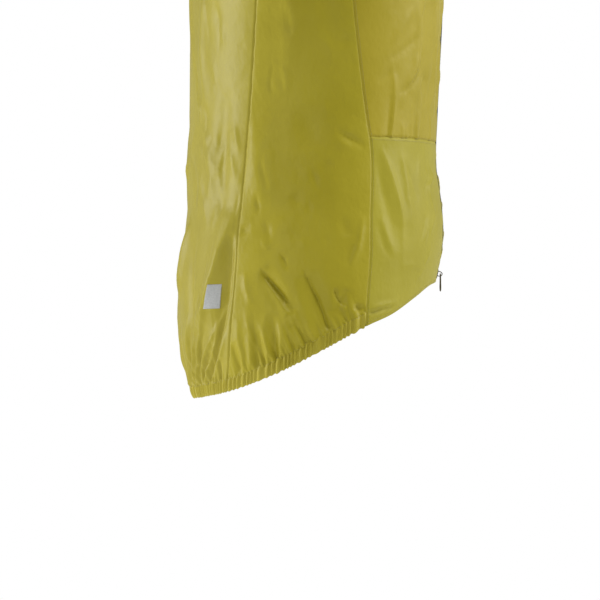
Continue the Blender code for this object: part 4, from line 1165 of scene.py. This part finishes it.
def zip_tuck(z):
    return ease((TUCK_HIGH_Z - z) / (22 * MM)) * ease((z - TUCK_LOW_Z) / (16 * MM))


lower_across = stations(FRONT_WIDTH, 1.7 * MM)
lower_up = stations(LOWER_RISE, 1.9 * MM)
for label, side in SIDES:
    surface = lower_front_surface(side)
    base = surface(lower_across[None, :], lower_up[:, None])
    zip_gap, seam_gap, rise, fall = edge_distances(base)
    relief = crease_relief(base, LOWER_CREASES[label])
    relief *= faded(0.3, np.minimum(seam_gap, fall), 8)
    relief += seam_dip(seam_gap, rise, 0.8, 9.0, 0.14) + seam_dip(fall, zip_gap, 0.8, 10.0, 0.14)
    relief += zip_edge(zip_gap, rise, 3.0) + 0.22 * MM * bell(rise - 1.6 * MM, 1.2 * MM)
    relief += EDGE_TUCK[label] * zip_tuck(base[..., 2]) * bell(zip_gap, 15 * MM)
    normals = grid_normals(base)
    outer = base + normals * relief[..., None]
    inside_up = np.linspace(TURN_UP, 0.0, FOLD_STEPS)[:-1] / LOWER_RISE
    inside_relief = np.stack([np.interp(inside_up, lower_up, column) for column in relief.T], axis=1)
    inside_base = surface(lower_across[None, :], inside_up[:, None])
    inside = inside_base + grid_normals(np.concatenate([inside_base, base[:1]]))[:-1] * (
        inside_relief - 2 * FOLD_RADIUS)[..., None]
    bend = np.linspace(pi, 0.0, FOLD_STEPS)[1:-1, None, None]
    down = np.array([0.0, 0.0, -1.0])
    fold = outer[:1] + normals[:1] * (np.cos(bend) - 1) * FOLD_RADIUS + down * np.sin(bend) * FOLD_RADIUS
    whole = np.concatenate([inside, outer[:1] - normals[:1] * 2 * FOLD_RADIUS, fold, outer])
    made = add_cloth(f"front_lower_cloth_{label}", whole, painted_light_front_cloth, [f"front_lower_{label}"],
                     turned=("left", "right", "high"))
    lower_fronts[label] = Panel(made, outer, grid_normals(outer), lower_across, lower_up)

upper_across = stations(FRONT_WIDTH, 2.0 * MM)
upper_up = stations(UPPER_RISE, 3.8 * MM, 0.06, 2.2 * MM)
for label, side in SIDES:
    base = upper_front_surface(side)(upper_across[None, :], upper_up[:, None])
    zip_gap, seam_gap, rise, fall = edge_distances(base)
    relief = crease_relief(base, UPPER_CREASES[label])
    relief *= faded(0.3, np.minimum(seam_gap, fall), 12)
    relief += seam_dip(seam_gap, rise, 0.8, 11.0, 0.16) + seam_dip(rise, zip_gap, 0.8, 12.0, 0.12)
    relief += seam_dip(fall, zip_gap, 0.6, 13.0, 0.1) + zip_edge(zip_gap, rise, 5.0)
    upper_fronts[label] = finish_panel(f"front_upper_cloth_{label}", base, relief, upper_cloth,
                                       [f"front_upper_{label}"], upper_across, upper_up,
                                       turned=("left", "right", "low", "high"))

# %% [markdown]
# ## The gathered channel
# The channel is a flat tube of cloth with elastic in it. Its section is a rounded loop, thin at the
# stitched top and full at the folded bottom edge, carried along the hem. Each gather of the panels
# above swings it out and fills it, and lowers its bottom edge a little, so the hem looks nibbled.

# %% Channel
CHANNEL_FULL = 1.35 * MM  # half thickness where a gather is full
CHANNEL_SINK = 0.5 * MM  # its middle lies this far inside the form
CHANNEL_DROP = 0.5 * MM
CHANNEL_LAP = 3.2 * MM  # its top edge goes up behind the panels
STATIONS_PER_GATHER = 10
SECTION_SIDES = 22


def channel_points(top, bottom, gathers, sink=None):
    """Rings of section points: middle + half height * cos + outward * thickness * sin."""
    u = np.linspace(0.0, 1.0, gathers.count * STATIONS_PER_GATHER + 1)
    high, low = top(u), bottom(u)
    high = high + unit(high - low) * CHANNEL_LAP
    outward = unit(np.cross(np.gradient(low, axis=0), high - low))
    outward *= np.sign(np.sum(outward[:, :2] * low[:, :2], axis=1))[:, None]
    angle = full_turn(SECTION_SIDES)[None, :]
    upness = (1 + np.cos(angle)) / 2
    bump, number = gathers.wave(u)
    bump, strength = bump[:, None], gathers.height[number][:, None]
    fine = 0.5 + 0.5 * np.sin(2 * pi * (2.3 * gathers.phase(u)[:, None] + 0.6 * upness))
    full = CHANNEL_FULL * (0.40 + 0.62 * bump * strength + 0.12 * fine) * (1.0 - 0.72 * upness ** 3)
    swing = GATHER_OUT * (bump - 0.35) * strength * (0.62 + 0.25 * upness)
    middle = (high + low)[:, None, :] / 2
    half = (high - low)[:, None, :] / 2
    lowered = (CHANNEL_DROP + 1.1 * MM * (bump - 0.4) * strength) * (1 - upness)
    shape = middle + half * signed_power(np.cos(angle), 0.85)[..., None]
    inside = CHANNEL_SINK * (1 - 0.6 * upness) + 0.7 * MM * ease((upness - 0.78) / 0.2)
    if sink is not None:
        inside = inside + sink(u)[:, None]
    shape = shape + outward[:, None, :] * (swing - inside + full * np.sin(angle))[..., None]
    return shape - unit(half) * lowered[..., None]


def back_edge(line, edge_z):
    edge_turn = outer_turn(edge_z, 1)

    def at(u):
        turn = (2 * u - 1) * edge_turn
        return on_ring(turn, line_at_turn(line, np.abs(turn), 1), 1)
    return at


def side_edge(line, side):
    def at(u):
        front, back_y = FRONT_SEAM[-2].y, BACK_SEAM[-2].y
        for _ in range(SEARCH_STEPS):
            front, back_y = seam_y(line(front), -1), seam_y(line(back_y), 1)
        y = front + (back_y - front) * u
        return on_side(y, line(y), side)
    return at


def back_sink(u):
    return tail_sink(np.minimum(u, 1 - u) * hem_length, np.full_like(u, BACK_LOW_Z))


channels = {"back": channel_points(back_edge(casing_top_z, BACK_LOW_Z), back_edge(hem_z, BACK_SEAM[-2].z),
                                   BACK_GATHERS, back_sink)}
for label, side in SIDES:
    channels[f"side_{label}"] = channel_points(side_edge(casing_top_z, side), side_edge(hem_z, side),
                                               SIDE_GATHERS[label])
for place, points in channels.items():
    mesh = mesh_of(f"channel_{place}", grid_part(points, wrap_columns=True, caps=True))
    add_piece(f"channel_{place}", mesh, elastic_cloth, "garment",
                                      [f"hem_casing_{place}"])

# %% [markdown]
# ## Armhole bindings and collar
# Above the photograph the garment is finished as such gilets are: a narrow stretch binding folded
# over each armhole's edge, and a soft stand collar in two layers. Both are a section carried round
# a path: the binding's is a flat loop with a full inner edge, and the collar's goes up the outside,
# over the top and down the inside.

# %% Bindings
BINDING_HALF = 0.75 * MM
BINDING_STATIONS, BINDING_SIDES = 300, 20
BINDING_SINK = 0.35 * MM
BINDING_LAP = 0.9 * MM  # its outer edge goes under the panels
for label, side in SIDES:
    angle = full_turn(BINDING_STATIONS)[:, None]
    around = full_turn(BINDING_SIDES)[None, :]
    margin = (BINDING_WIDTH + BINDING_LAP) * (1 + np.cos(around)) / 2 * np.ones_like(angle)
    y = (ARMHOLE_HALF_WIDTH + margin) * np.cos(angle)
    z = ARMHOLE_Z + (ARMHOLE_HALF_HEIGHT + margin) * np.sin(angle)
    on_form = on_side(y, z, side)
    outward = unit(np.cross(np.roll(on_form, -1, axis=0) - np.roll(on_form, 1, axis=0),
                            on_side(y * 1.001, (z - ARMHOLE_Z) * 1.001 + ARMHOLE_Z, side) - on_form))
    outward *= np.sign(outward[..., :1]) * side
    run = angle * (ARMHOLE_HALF_WIDTH + ARMHOLE_HALF_HEIGHT) / 2
    ripple = 1 + 0.25 * pucker(run * 0.55, 4.0 + side) * (1 - margin / BINDING_WIDTH)
    full = BINDING_HALF * (0.7 + 0.6 * bell(margin / BINDING_WIDTH - 0.15, 0.35)) * ripple
    points = on_form + outward * (full * np.sin(around) - BINDING_SINK)[..., None]
    mesh = mesh_of(f"binding_{label}", grid_part(points, wrap_rows=True, wrap_columns=True))
    add_piece(f"binding_{label}", mesh, elastic_cloth, "garment",
                                      [f"armhole_binding_{label}"])

# %% Collar
COLLAR_STATIONS = 260
OUTSIDE, OVER, INSIDE = 22, 6, 16  # points of the section up the outside, over the top and down
COLLAR_THICK = 1.5 * MM
COLLAR_LAP = 2.2 * MM  # its foot goes down behind the panels
front_angle = float(neck_at_turn(centre_turn(NECK_FRONT_Z), -1)[0])
angle = np.linspace(-front_angle, front_angle, COLLAR_STATIONS)[:, None]
neck_x, neck_y, neck_z = neck_plan(angle)
reach = np.where(np.cos(angle) < 0, NECK_FRONT_DEPTH, NECK_BACK_DEPTH)
out_x, out_y = np.sin(angle) / NECK_HALF_WIDTH, np.cos(angle) / reach
out_length = np.hypot(out_x, out_y)
height = COLLAR_HEIGHT - COLLAR_SIDE_DIP * np.sin(angle) ** 2
roll = COLLAR_THICK / 2
roll_angle = np.linspace(0.0, pi, OVER + 2)[1:-1]
rise_share = np.concatenate([np.linspace(0, 1, OUTSIDE), np.ones(OVER), np.linspace(1, 0, INSIDE)])[None, :]
extra_rise = np.concatenate([np.zeros(OUTSIDE), roll * np.sin(roll_angle), np.zeros(INSIDE)])[None, :]
inward = np.concatenate([np.zeros(OUTSIDE), roll * (1 - np.cos(roll_angle)),
                         np.full(INSIDE, 2 * roll)])[None, :]
lap = COLLAR_LAP * (1 - rise_share) ** 8
rise = rise_share * (height - roll) + extra_rise - lap
neck_run = NECK_HALF_WIDTH * angle
wrinkle = (0.9 * np.sin(neck_run / (17 * MM) + 26 * rise) * np.sin(neck_run / (41 * MM) + 1.0)
           + 0.45 * np.sin(neck_run / (7.5 * MM) - 60 * rise + 1.3)) * MM
wrinkle = wrinkle * np.sin(pi * np.clip(rise / height, 0, 1)) ** 0.7
wrinkle += 0.35 * MM * pucker(neck_run * 0.5, 1.7) * np.exp(-np.abs(rise - 2 * MM) / (3 * MM))
wrinkle -= 0.7 * MM * bell(rise, 1.1 * MM) * (inward < roll)
out = wrinkle - inward - 0.5 * lap
lean = COLLAR_LEAN * rise / COLLAR_HEIGHT
collar_points = np.stack([neck_x - lean * np.sin(angle) + out * out_x / out_length,
                          neck_y - lean * np.cos(angle) + out * out_y / out_length,
                          neck_z + rise], axis=-1)
mesh = mesh_of("collar_cloth", grid_part(collar_points, wrap_columns=True, caps=True))
collar_piece = add_piece("collar_cloth", mesh, upper_cloth, "garment", ["collar"])

# %% [markdown]
# ## The zip
# A coil zip closes the front. Two woven tapes lie under the edges of the fronts and carry a chain
# of nylon teeth that lock turn by turn. Only an edge of it shows in the photograph, as a thin dark
# line. Each tooth is a small rounded body, repeated up the chain, first from one side and then from
# the other. Away from the sliders the chain swells out until it is level with the cloth.

# %% Tapes and chain
ZIP_HALF_GAP, ZIP_TAPE_EDGE = 0.3 * MM, 7.0 * MM
TAPE_SINK = 2.1 * MM  # the tape's outer face lies this far inside the form
TAPE_WALL = 0.6 * MM
TAPE_ROWS, TAPE_COLUMNS = 190, 8
ZIP_LOW_Z, ZIP_HIGH_Z = -0.6040, NECK_FRONT_Z + COLLAR_HEIGHT
SLIDER_LOWER_Z, SLIDER_UPPER_Z = -0.5968, ZIP_HIGH_Z - 0.0055
ZIP_SWELL = 1.6 * MM
ZIP_TUCK = 0.2 * MM
SWELL_EDGES = (2.0 * MM, 4.2 * MM)  # the tape bulges only between the fronts' edges
TOOTH_PITCH = 1.6 * MM
TOOTH_HALF = np.array([1.45, 0.55, 0.62]) * MM


def centre_front(z, x=0.0):
    """Depth of the garment's outer face near the centre front, collar included."""
    body = -depth(z, -1) * (1 - np.abs(x / half_width(z)) ** ROUNDNESS) ** (1 / ROUNDNESS)
    share = np.clip((z - NECK_FRONT_Z) / COLLAR_HEIGHT, 0.0, 1.0)
    collar = -NECK_FRONT_DEPTH * np.sqrt(1 - (x / NECK_HALF_WIDTH) ** 2) + COLLAR_LEAN * share
    return np.where(z < NECK_FRONT_Z, body, collar)


def tape_depth(z, x=0.0):
    from_slider = np.minimum(z - SLIDER_LOWER_Z, SLIDER_UPPER_Z - z)
    middle = 1 - ease((x - SWELL_EDGES[0]) / (SWELL_EDGES[1] - SWELL_EDGES[0]))
    swell = ZIP_SWELL * middle * ease((from_slider - 10 * MM) / (18 * MM))
    return centre_front(z, x) + TAPE_SINK - swell + ZIP_TUCK * zip_tuck(z)


def rounded_body(half, rings=6, around=8):
    """Ellipsoid as rings along its first axis, with small flat ends."""
    polar = np.linspace(0.22, pi - 0.22, rings)[:, None]
    turn = full_turn(around)[None, :]
    points = [np.cos(polar) + 0 * turn, np.sin(polar) * np.cos(turn), np.sin(polar) * np.sin(turn)]
    return grid_part(np.stack(points, axis=-1) * half, wrap_columns=True, caps=True)


def repeated(name, body, centres, axes):
    """One mesh with a copy of a small body at each centre, turned so that its axes are the given ones."""
    points, faces = body
    flat = points.reshape(-1, 3)
    placed = centres[:, None, :] + flat @ axes
    mesh = bpy.data.meshes.new(name)
    all_faces = []
    for face_size in sorted({len(face) for face in faces}):
        kind = np.array([face for face in faces if len(face) == face_size])
        shifted = kind[None] + (np.arange(len(centres)) * len(flat))[:, None, None]
        all_faces += shifted.reshape(-1, face_size).tolist()
    mesh.from_pydata(placed.reshape(-1, 3), [], all_faces)
    mesh.shade_smooth()
    return mesh


tape_z = np.linspace(ZIP_LOW_Z, ZIP_HIGH_Z, TAPE_ROWS)[:, None]
for label, side in SIDES:
    tape_x = np.linspace(ZIP_HALF_GAP, ZIP_TAPE_EDGE, TAPE_COLUMNS)[None, :]
    ripple = 0.12 * MM * np.sin(tape_z / (5.3 * MM) + side) * tape_x / ZIP_TAPE_EDGE
    tape_y = tape_depth(tape_z, tape_x) + ripple
    points = np.stack(np.broadcast_arrays(side * tape_x, tape_y, tape_z), axis=-1)
    add_cloth(f"zip_tape_cloth_{label}", points, tape_look, [f"zip_tape_{label}"],
                                   "zip_tape", TAPE_WALL)
tooth_z = np.arange(SLIDER_LOWER_Z - 1 * MM, SLIDER_UPPER_Z + 1 * MM, TOOTH_PITCH / 2)
tooth_side = np.where(np.arange(len(tooth_z)) % 2, 1.0, -1.0)
tooth_at = np.stack([tooth_side * 0.55 * MM, tape_depth(tooth_z) - TOOTH_HALF[1], tooth_z], axis=-1)
tooth_axes = np.broadcast_to(np.eye(3), (len(tooth_z), 3, 3))
add_piece("zip_chain", repeated("zip_chain", rounded_body(TOOTH_HALF), tooth_at, tooth_axes), coil_look,
          "garment")

# %% [markdown]
# ## Sliders and pulls
# The zip opens from both ends, so it has two sliders, one upside down. Each is a shouldered front
# plate with short side walls, a back plate, a post that parts the two chains, and an arched bail.
# The pull is a flat tab with a window at its top, threaded through the bail, and it hangs and
# swings on its own body.

# %% Slider and pull helpers
SLIDER_LENGTH = 10.0 * MM
CHAIN_CLEARANCE, PLATE = 1.6 * MM, 1.1 * MM
BAIL_UP, BAIL_HALF, BAIL_OUT = 1.0 * MM, 2.35 * MM, 4.45 * MM
BAIL_HALF_WIDTH, BAIL_HALF_THICK = 0.78 * MM, 0.45 * MM
AXIS_OUT = CHAIN_CLEARANCE + PLATE + 2.8 * MM
AXIS_UP = 0.9 * MM


def rounded(corners, times=3):
    """A closed outline with its corners cut again and again, each time at a fifth of a side."""
    points = np.array(corners, dtype=float)
    for _ in range(times):
        ahead = np.roll(points, -1, axis=0)
        cut = [0.8 * points + 0.2 * ahead, 0.2 * points + 0.8 * ahead]
        points = np.stack(cut, axis=1).reshape(-1, points.shape[1])
    return points


def plate(outline_mm, y_low_mm, y_high_mm, bevel_mm=0.25):
    """A flat body with rounded edges from an outline of (x, z)."""
    outline = rounded(outline_mm)
    along = np.roll(outline, -1, axis=0) - np.roll(outline, 1, axis=0)
    inward = unit(np.stack([-along[:, 1], along[:, 0]], axis=-1))
    if np.sum(inward * outline) > 0:
        inward = -inward
    turn = np.linspace(0, pi / 2, 4)
    inset = bevel_mm * np.concatenate([1 - np.sin(turn), 1 - np.cos(turn)])
    y = np.concatenate([y_low_mm + bevel_mm * (1 - np.cos(turn)), y_high_mm - bevel_mm * (1 - np.sin(turn))])
    flat = outline[None] + inward[None] * inset[:, None, None]
    points = np.stack([flat[..., 0], y[:, None] + 0 * flat[..., 0], flat[..., 1]], axis=-1)
    return grid_part(points * MM, wrap_columns=True, caps=True)


def bail():
    """A flat band carried round an arch in the plane of y and z."""
    angle = np.linspace(0.0, pi, 25)
    out = -(CHAIN_CLEARANCE + PLATE - 0.2 * MM) - (BAIL_OUT + 0.2 * MM) * np.sin(angle) ** 0.75
    up = BAIL_UP + BAIL_HALF * signed_power(np.cos(angle), 0.75)
    path = np.stack([0 * out, out, up], axis=-1)
    along = unit(np.gradient(path, axis=0))
    normal = np.stack([0 * out, -along[:, 2], along[:, 1]], axis=-1)
    turn = full_turn(14)[None, :, None]
    across = BAIL_HALF_WIDTH * signed_power(np.cos(turn), 0.6) * np.array([1.0, 0.0, 0.0])
    thick = BAIL_HALF_THICK * signed_power(np.sin(turn), 0.8) * normal[:, None, :]
    return grid_part(path[:, None, :] + across + thick, wrap_columns=True, caps=True)


def slider_tilt(centre_z):
    reach = SLIDER_LENGTH / 2
    return -float(np.arctan((centre_front(centre_z + reach) - centre_front(centre_z - reach)) / (2 * reach)))


def placed(part, centre_z, tilt):
    """Turns a slider's part about x and sets it on the tape."""
    points, faces = part
    turn = np.array([[1, 0, 0], [0, cos(tilt), -sin(tilt)], [0, sin(tilt), cos(tilt)]])
    return points @ turn.T + np.array([0.0, float(centre_front(centre_z)) + TAPE_SINK, centre_z]), faces


# %% Sliders
BODY_EDGE = [(3.0, 5.0), (3.7, 3.6), (3.7, 0.6), (2.7, -2.6), (2.5, -5.0)]
for label, centre_z, up in (("lower", SLIDER_LOWER_Z, -1), ("upper", SLIDER_UPPER_Z, 1)):
    tilt = slider_tilt(centre_z)
    body = [(x, z * up) for x, z in BODY_EDGE] + [(-x, z * up) for x, z in BODY_EDGE[::-1]]
    crown = [(x * 0.62, z * 0.72) for x, z in body]
    parts = [plate(body, -2.7, -1.6), plate(crown, -3.0, -2.6, 0.15), plate(body, 1.3, 2.4),
             plate([(0.4, 4.2), (-0.4, 4.2), (-0.4, -3.0), (0.4, -3.0)], -1.7, 1.4, 0.1), bail()]
    for side in (-1, 1):
        wall = [(side * x, z * up) for x, z in ((2.95, 4.0), (3.6, 3.6), (3.6, 0.4), (2.95, -0.4))]
        parts.append(plate(wall, -1.8, -0.6, 0.15))
    mesh = mesh_of(f"slider_{label}_metal", *[placed(part, centre_z, tilt) for part in parts])
    add_piece(f"slider_{label}_metal", mesh, metal_look, "garment", [f"slider_{label}"])

# %% Pulls
WINDOW = [(0.0, -0.6), (1.3, -0.6), (1.3, -1.8), (1.3, -3.0), (1.3, -4.2), (1.3, -5.2), (0.0, -5.2)]
PULL_EDGE = [(0.0, 0.75), (2.5, 0.75), (2.5, -3.0), (2.15, -8.5), (2.6, -12.5), (2.55, -17.3), (0.0, -17.3)]
PULL_THICK_Z, PULL_THICK = (-17.3, -12.5, -9.0, -5.0, 0.0), (0.88, 0.88, 0.76, 0.74, 0.58)
window, pull_edge = [rounded(half_loop + [(-x, z) for x, z in half_loop[-2:0:-1]])[:, None, :]
                     for half_loop in (WINDOW, PULL_EDGE)]
section = full_turn(18)
to_edge = ((1 - np.cos(section)) / 2)[None, :, None]
thick = signed_power(np.sin(section), 0.4)[None, :]
flat = window * (1 - to_edge) + pull_edge * to_edge
thick = thick * np.interp(flat[..., 1], PULL_THICK_Z, PULL_THICK)
pull_points = np.stack([flat[..., 0], thick, flat[..., 1]], axis=-1) * MM
for label, centre_z in (("lower", SLIDER_LOWER_Z), ("upper", SLIDER_UPPER_Z)):
    tilt = slider_tilt(centre_z)
    axis_y = float(centre_front(centre_z)) + TAPE_SINK - AXIS_OUT * cos(tilt) - AXIS_UP * sin(tilt)
    axis_at = np.array([0.0, axis_y, centre_z - AXIS_OUT * sin(tilt) + AXIS_UP * cos(tilt)])
    mesh = mesh_of(f"pull_{label}_metal", grid_part(pull_points + axis_at, wrap_rows=True, wrap_columns=True))
    add_piece(f"pull_{label}_metal", mesh, metal_look, f"{label}_pull", [f"pull_{label}"])

# %% [markdown]
# ## The reflective tab and the stitches
# A grey reflective tab is bonded to the back beside the seam, so it bends over the same ridge as
# the cloth: its grid is read off the back's own points and moved out. The rows of stitches are laid
# the same way, at a set distance from a panel's edge, as small threads that lie on the cloth.

# %% Reflective tab
TAB_LEFT, TAB_RIGHT = (0.138, 0.105), (0.077, 0.065)  # shares of the back's width, at its foot and top
TAB_LOW_Z, TAB_HIGH_Z = (-0.6305, -0.6315), (-0.6085, -0.6085)  # at its left and right edge
TAB_OUT, TAB_WALL = 0.40 * MM, 0.3 * MM


def grid_at(grid, row, column):
    """Values between a grid's points, by two-way linear mixing."""
    r = np.clip(row.astype(int), 0, grid.shape[0] - 2)
    c = np.clip(column.astype(int), 0, grid.shape[1] - 2)
    fr, fc = (row - r)[..., None], (column - c)[..., None]
    low = grid[r, c] * (1 - fc) + grid[r, c + 1] * fc
    high = grid[r + 1, c] * (1 - fc) + grid[r + 1, c + 1] * fc
    return low * (1 - fr) + high * fr


tab_u, tab_v = np.meshgrid(np.linspace(0, 1, 26), np.linspace(0, 1, 34))


def corners_mixed(low_left, low_right, high_left, high_right):
    low = low_left + (low_right - low_left) * tab_u
    return low + (high_left + (high_right - high_left) * tab_u - low) * tab_v


tab_column = np.interp(corners_mixed(TAB_LEFT[0], TAB_RIGHT[0], TAB_LEFT[1], TAB_RIGHT[1]),
                       back.across, np.arange(len(back.across)))
tab_z = corners_mixed(TAB_LOW_Z[0], TAB_LOW_Z[1], TAB_HIGH_Z[0], TAB_HIGH_Z[1])
level_z = back_base[:, int(tab_column.mean()), 2]
tab_row = np.interp(tab_z, level_z, np.arange(len(level_z)))
tab_out = TAB_OUT * grid_at(back.normals, tab_row, tab_column)
tab_piece = add_cloth("reflective_tab", grid_at(back.points, tab_row, tab_column) + tab_out, film_look,
                      ["reflective_patch"], "reflective", TAB_WALL)

# %% Stitches
STITCH_PITCH = 3.0 * MM
STITCH_HALF = np.array([1.12, 0.21, 0.17]) * MM


def line_beside(panel, edge, distance):
    """Points and normals on a panel at a set distance from one of its edges."""
    points, normals = edge_first(panel.points, edge), edge_first(panel.normals, edge)
    reach = edge_distances(points)[0]
    column = np.sum(reach <= distance, axis=1) - 1
    row = np.arange(len(points))
    part = (distance - reach[row, column]) / (reach[row, column + 1] - reach[row, column])
    column = column + part
    return grid_at(points, row.astype(float), column), grid_at(normals, row.astype(float), column)


def stitch_row(path, normals, seed):
    """Centres and axes of stitches along a path: along it, outwards, and across."""
    run = np.concatenate([[0.0], np.cumsum(np.linalg.norm(np.diff(path, axis=0), axis=1))])
    random = np.random.default_rng(seed)
    at = np.arange(STITCH_PITCH, run[-1] - STITCH_PITCH / 2, STITCH_PITCH)
    at = at + random.uniform(-0.12, 0.12, len(at)) * MM

    def along_run(values, place):
        return np.stack([np.interp(place, run, values[:, i]) for i in range(3)], axis=-1)
    half = STITCH_HALF[0]
    start, end = along_run(path, at - half), along_run(path, at + half)
    direction = unit(end - start)
    out = along_run(normals, at)
    out = unit(out - direction * np.sum(out * direction, axis=1, keepdims=True))
    axes = np.stack([direction, out, np.cross(direction, out)], axis=1)
    return along_run(path, at) + out * 0.10 * MM, axes


def above(line, low_z):
    path, normals = line
    keep = path[:, 2] > low_z
    return path[keep], normals[keep]


stitch_lines = [line_beside(back, "low", 1.3 * MM)]
for label, _ in SIDES:
    side_panel, lower, upper = sides[label], lower_fronts[label], upper_fronts[label]
    for panel, edge, distance_mm in (
            (side_panel, "low", 1.3), (side_panel, "high", 1.8),
            (lower, "right", 2.0), (lower, "high", 3.0), (lower, "low", 2.4), (lower, "left", 1.8),
            (upper, "right", 2.0), (upper, "left", 1.8)):
        stitch_lines.append(line_beside(panel, edge, distance_mm * MM))
for edge in ("left", "right"):
    stitch_lines.append(above(line_beside(back, edge, 2.0 * MM), BACK_SEAM[-1].z))
stitch_lines.append((collar_points[2:-2, 1], grid_normals(collar_points)[2:-2, 1]))
rows_of_stitches = [stitch_row(*line, seed) for seed, line in enumerate(stitch_lines)]
stitch_at = np.concatenate([centres for centres, _ in rows_of_stitches])
stitch_axes = np.concatenate([axes for _, axes in rows_of_stitches])
add_piece("stitches", repeated("stitches", rounded_body(STITCH_HALF, 4, 6), stitch_at, stitch_axes),
          thread_look, "garment")
print(f"{len(tooth_z)} teeth, {len(stitch_at)} stitches")

# %% [markdown]
# ## Light and stage
# The photograph was taken before a bright white background with soft light from both sides, so the
# cloth is light where it turns away from the lens and deeper where it faces it. A white world gives
# the background, and two large soft lights stand to the front and to the back of the wearer.

# %% Stage
FLOOR_Z = -1.55  # a wearer stands on it
FLOOR_RADIUS = 5.0
floor_turn = full_turn(96)[None, :]
floor_reach = np.array([0.02, 0.5, 1.0])[:, None] * FLOOR_RADIUS
floor_x, floor_y = floor_reach * np.cos(floor_turn), floor_reach * np.sin(floor_turn)
floor_points = np.stack(np.broadcast_arrays(floor_x, floor_y, FLOOR_Z), axis=-1)
floor_mesh = mesh_of("floor", grid_part(floor_points, wrap_columns=True))
floor_look, floor_shader = new_look("floor", 0.8, 0.2)
set_inputs(floor_shader, Base_Color=(0.88, 0.88, 0.87, 1), Emission_Color=(1, 1, 1, 1),
           Emission_Strength=0.25)
floor_mesh.materials.append(floor_look)
put("floor", floor_mesh)

# %% World
world = bpy.data.worlds.new("studio")
world.use_nodes = True
bpy.context.scene.world = world
tree = world.node_tree
background = tree.nodes["Background"]
set_inputs(background, Color=(1, 1, 1, 1), Strength=0.25)
shown = tree.nodes.new("ShaderNodeBackground")
set_inputs(shown, Color=(1, 1, 1, 1), Strength=1.0)
path_kind = tree.nodes.new("ShaderNodeLightPath")
choose = tree.nodes.new("ShaderNodeMixShader")
tree.links.new(path_kind.outputs["Is Camera Ray"], choose.inputs[0])
tree.links.new(background.outputs[0], choose.inputs[1])
tree.links.new(shown.outputs[0], choose.inputs[2])
tree.links.new(choose.outputs[0], tree.nodes["World Output"].inputs["Surface"])
bpy.context.scene.view_settings.view_transform = "Standard"


def soft_light(name, place, size, power):
    data = bpy.data.lights.new(name, "AREA")
    data.shape, data.size, data.energy = "DISK", size, power
    lamp = put(name, data)
    lamp.location = place
    direction = np.array(place) - LIGHT_AIM
    lamp.rotation_euler = (float(np.arccos(direction[2] / np.linalg.norm(direction))), 0.0,
                           float(np.arctan2(direction[1], direction[0])) + pi / 2)


LIGHT_AIM = np.array([0.0, 0.0, -0.5])
soft_light("light_front", (0.25, -2.6, 0.3), 1.3, 36)
soft_light("light_back", (0.10, 2.5, -0.35), 1.1, 37)
soft_light("light_over", (-0.8, -1.0, 2.2), 0.9, 48)
soft_light("light_low", (-2.4, 1.2, -0.2), 1.6, 14)
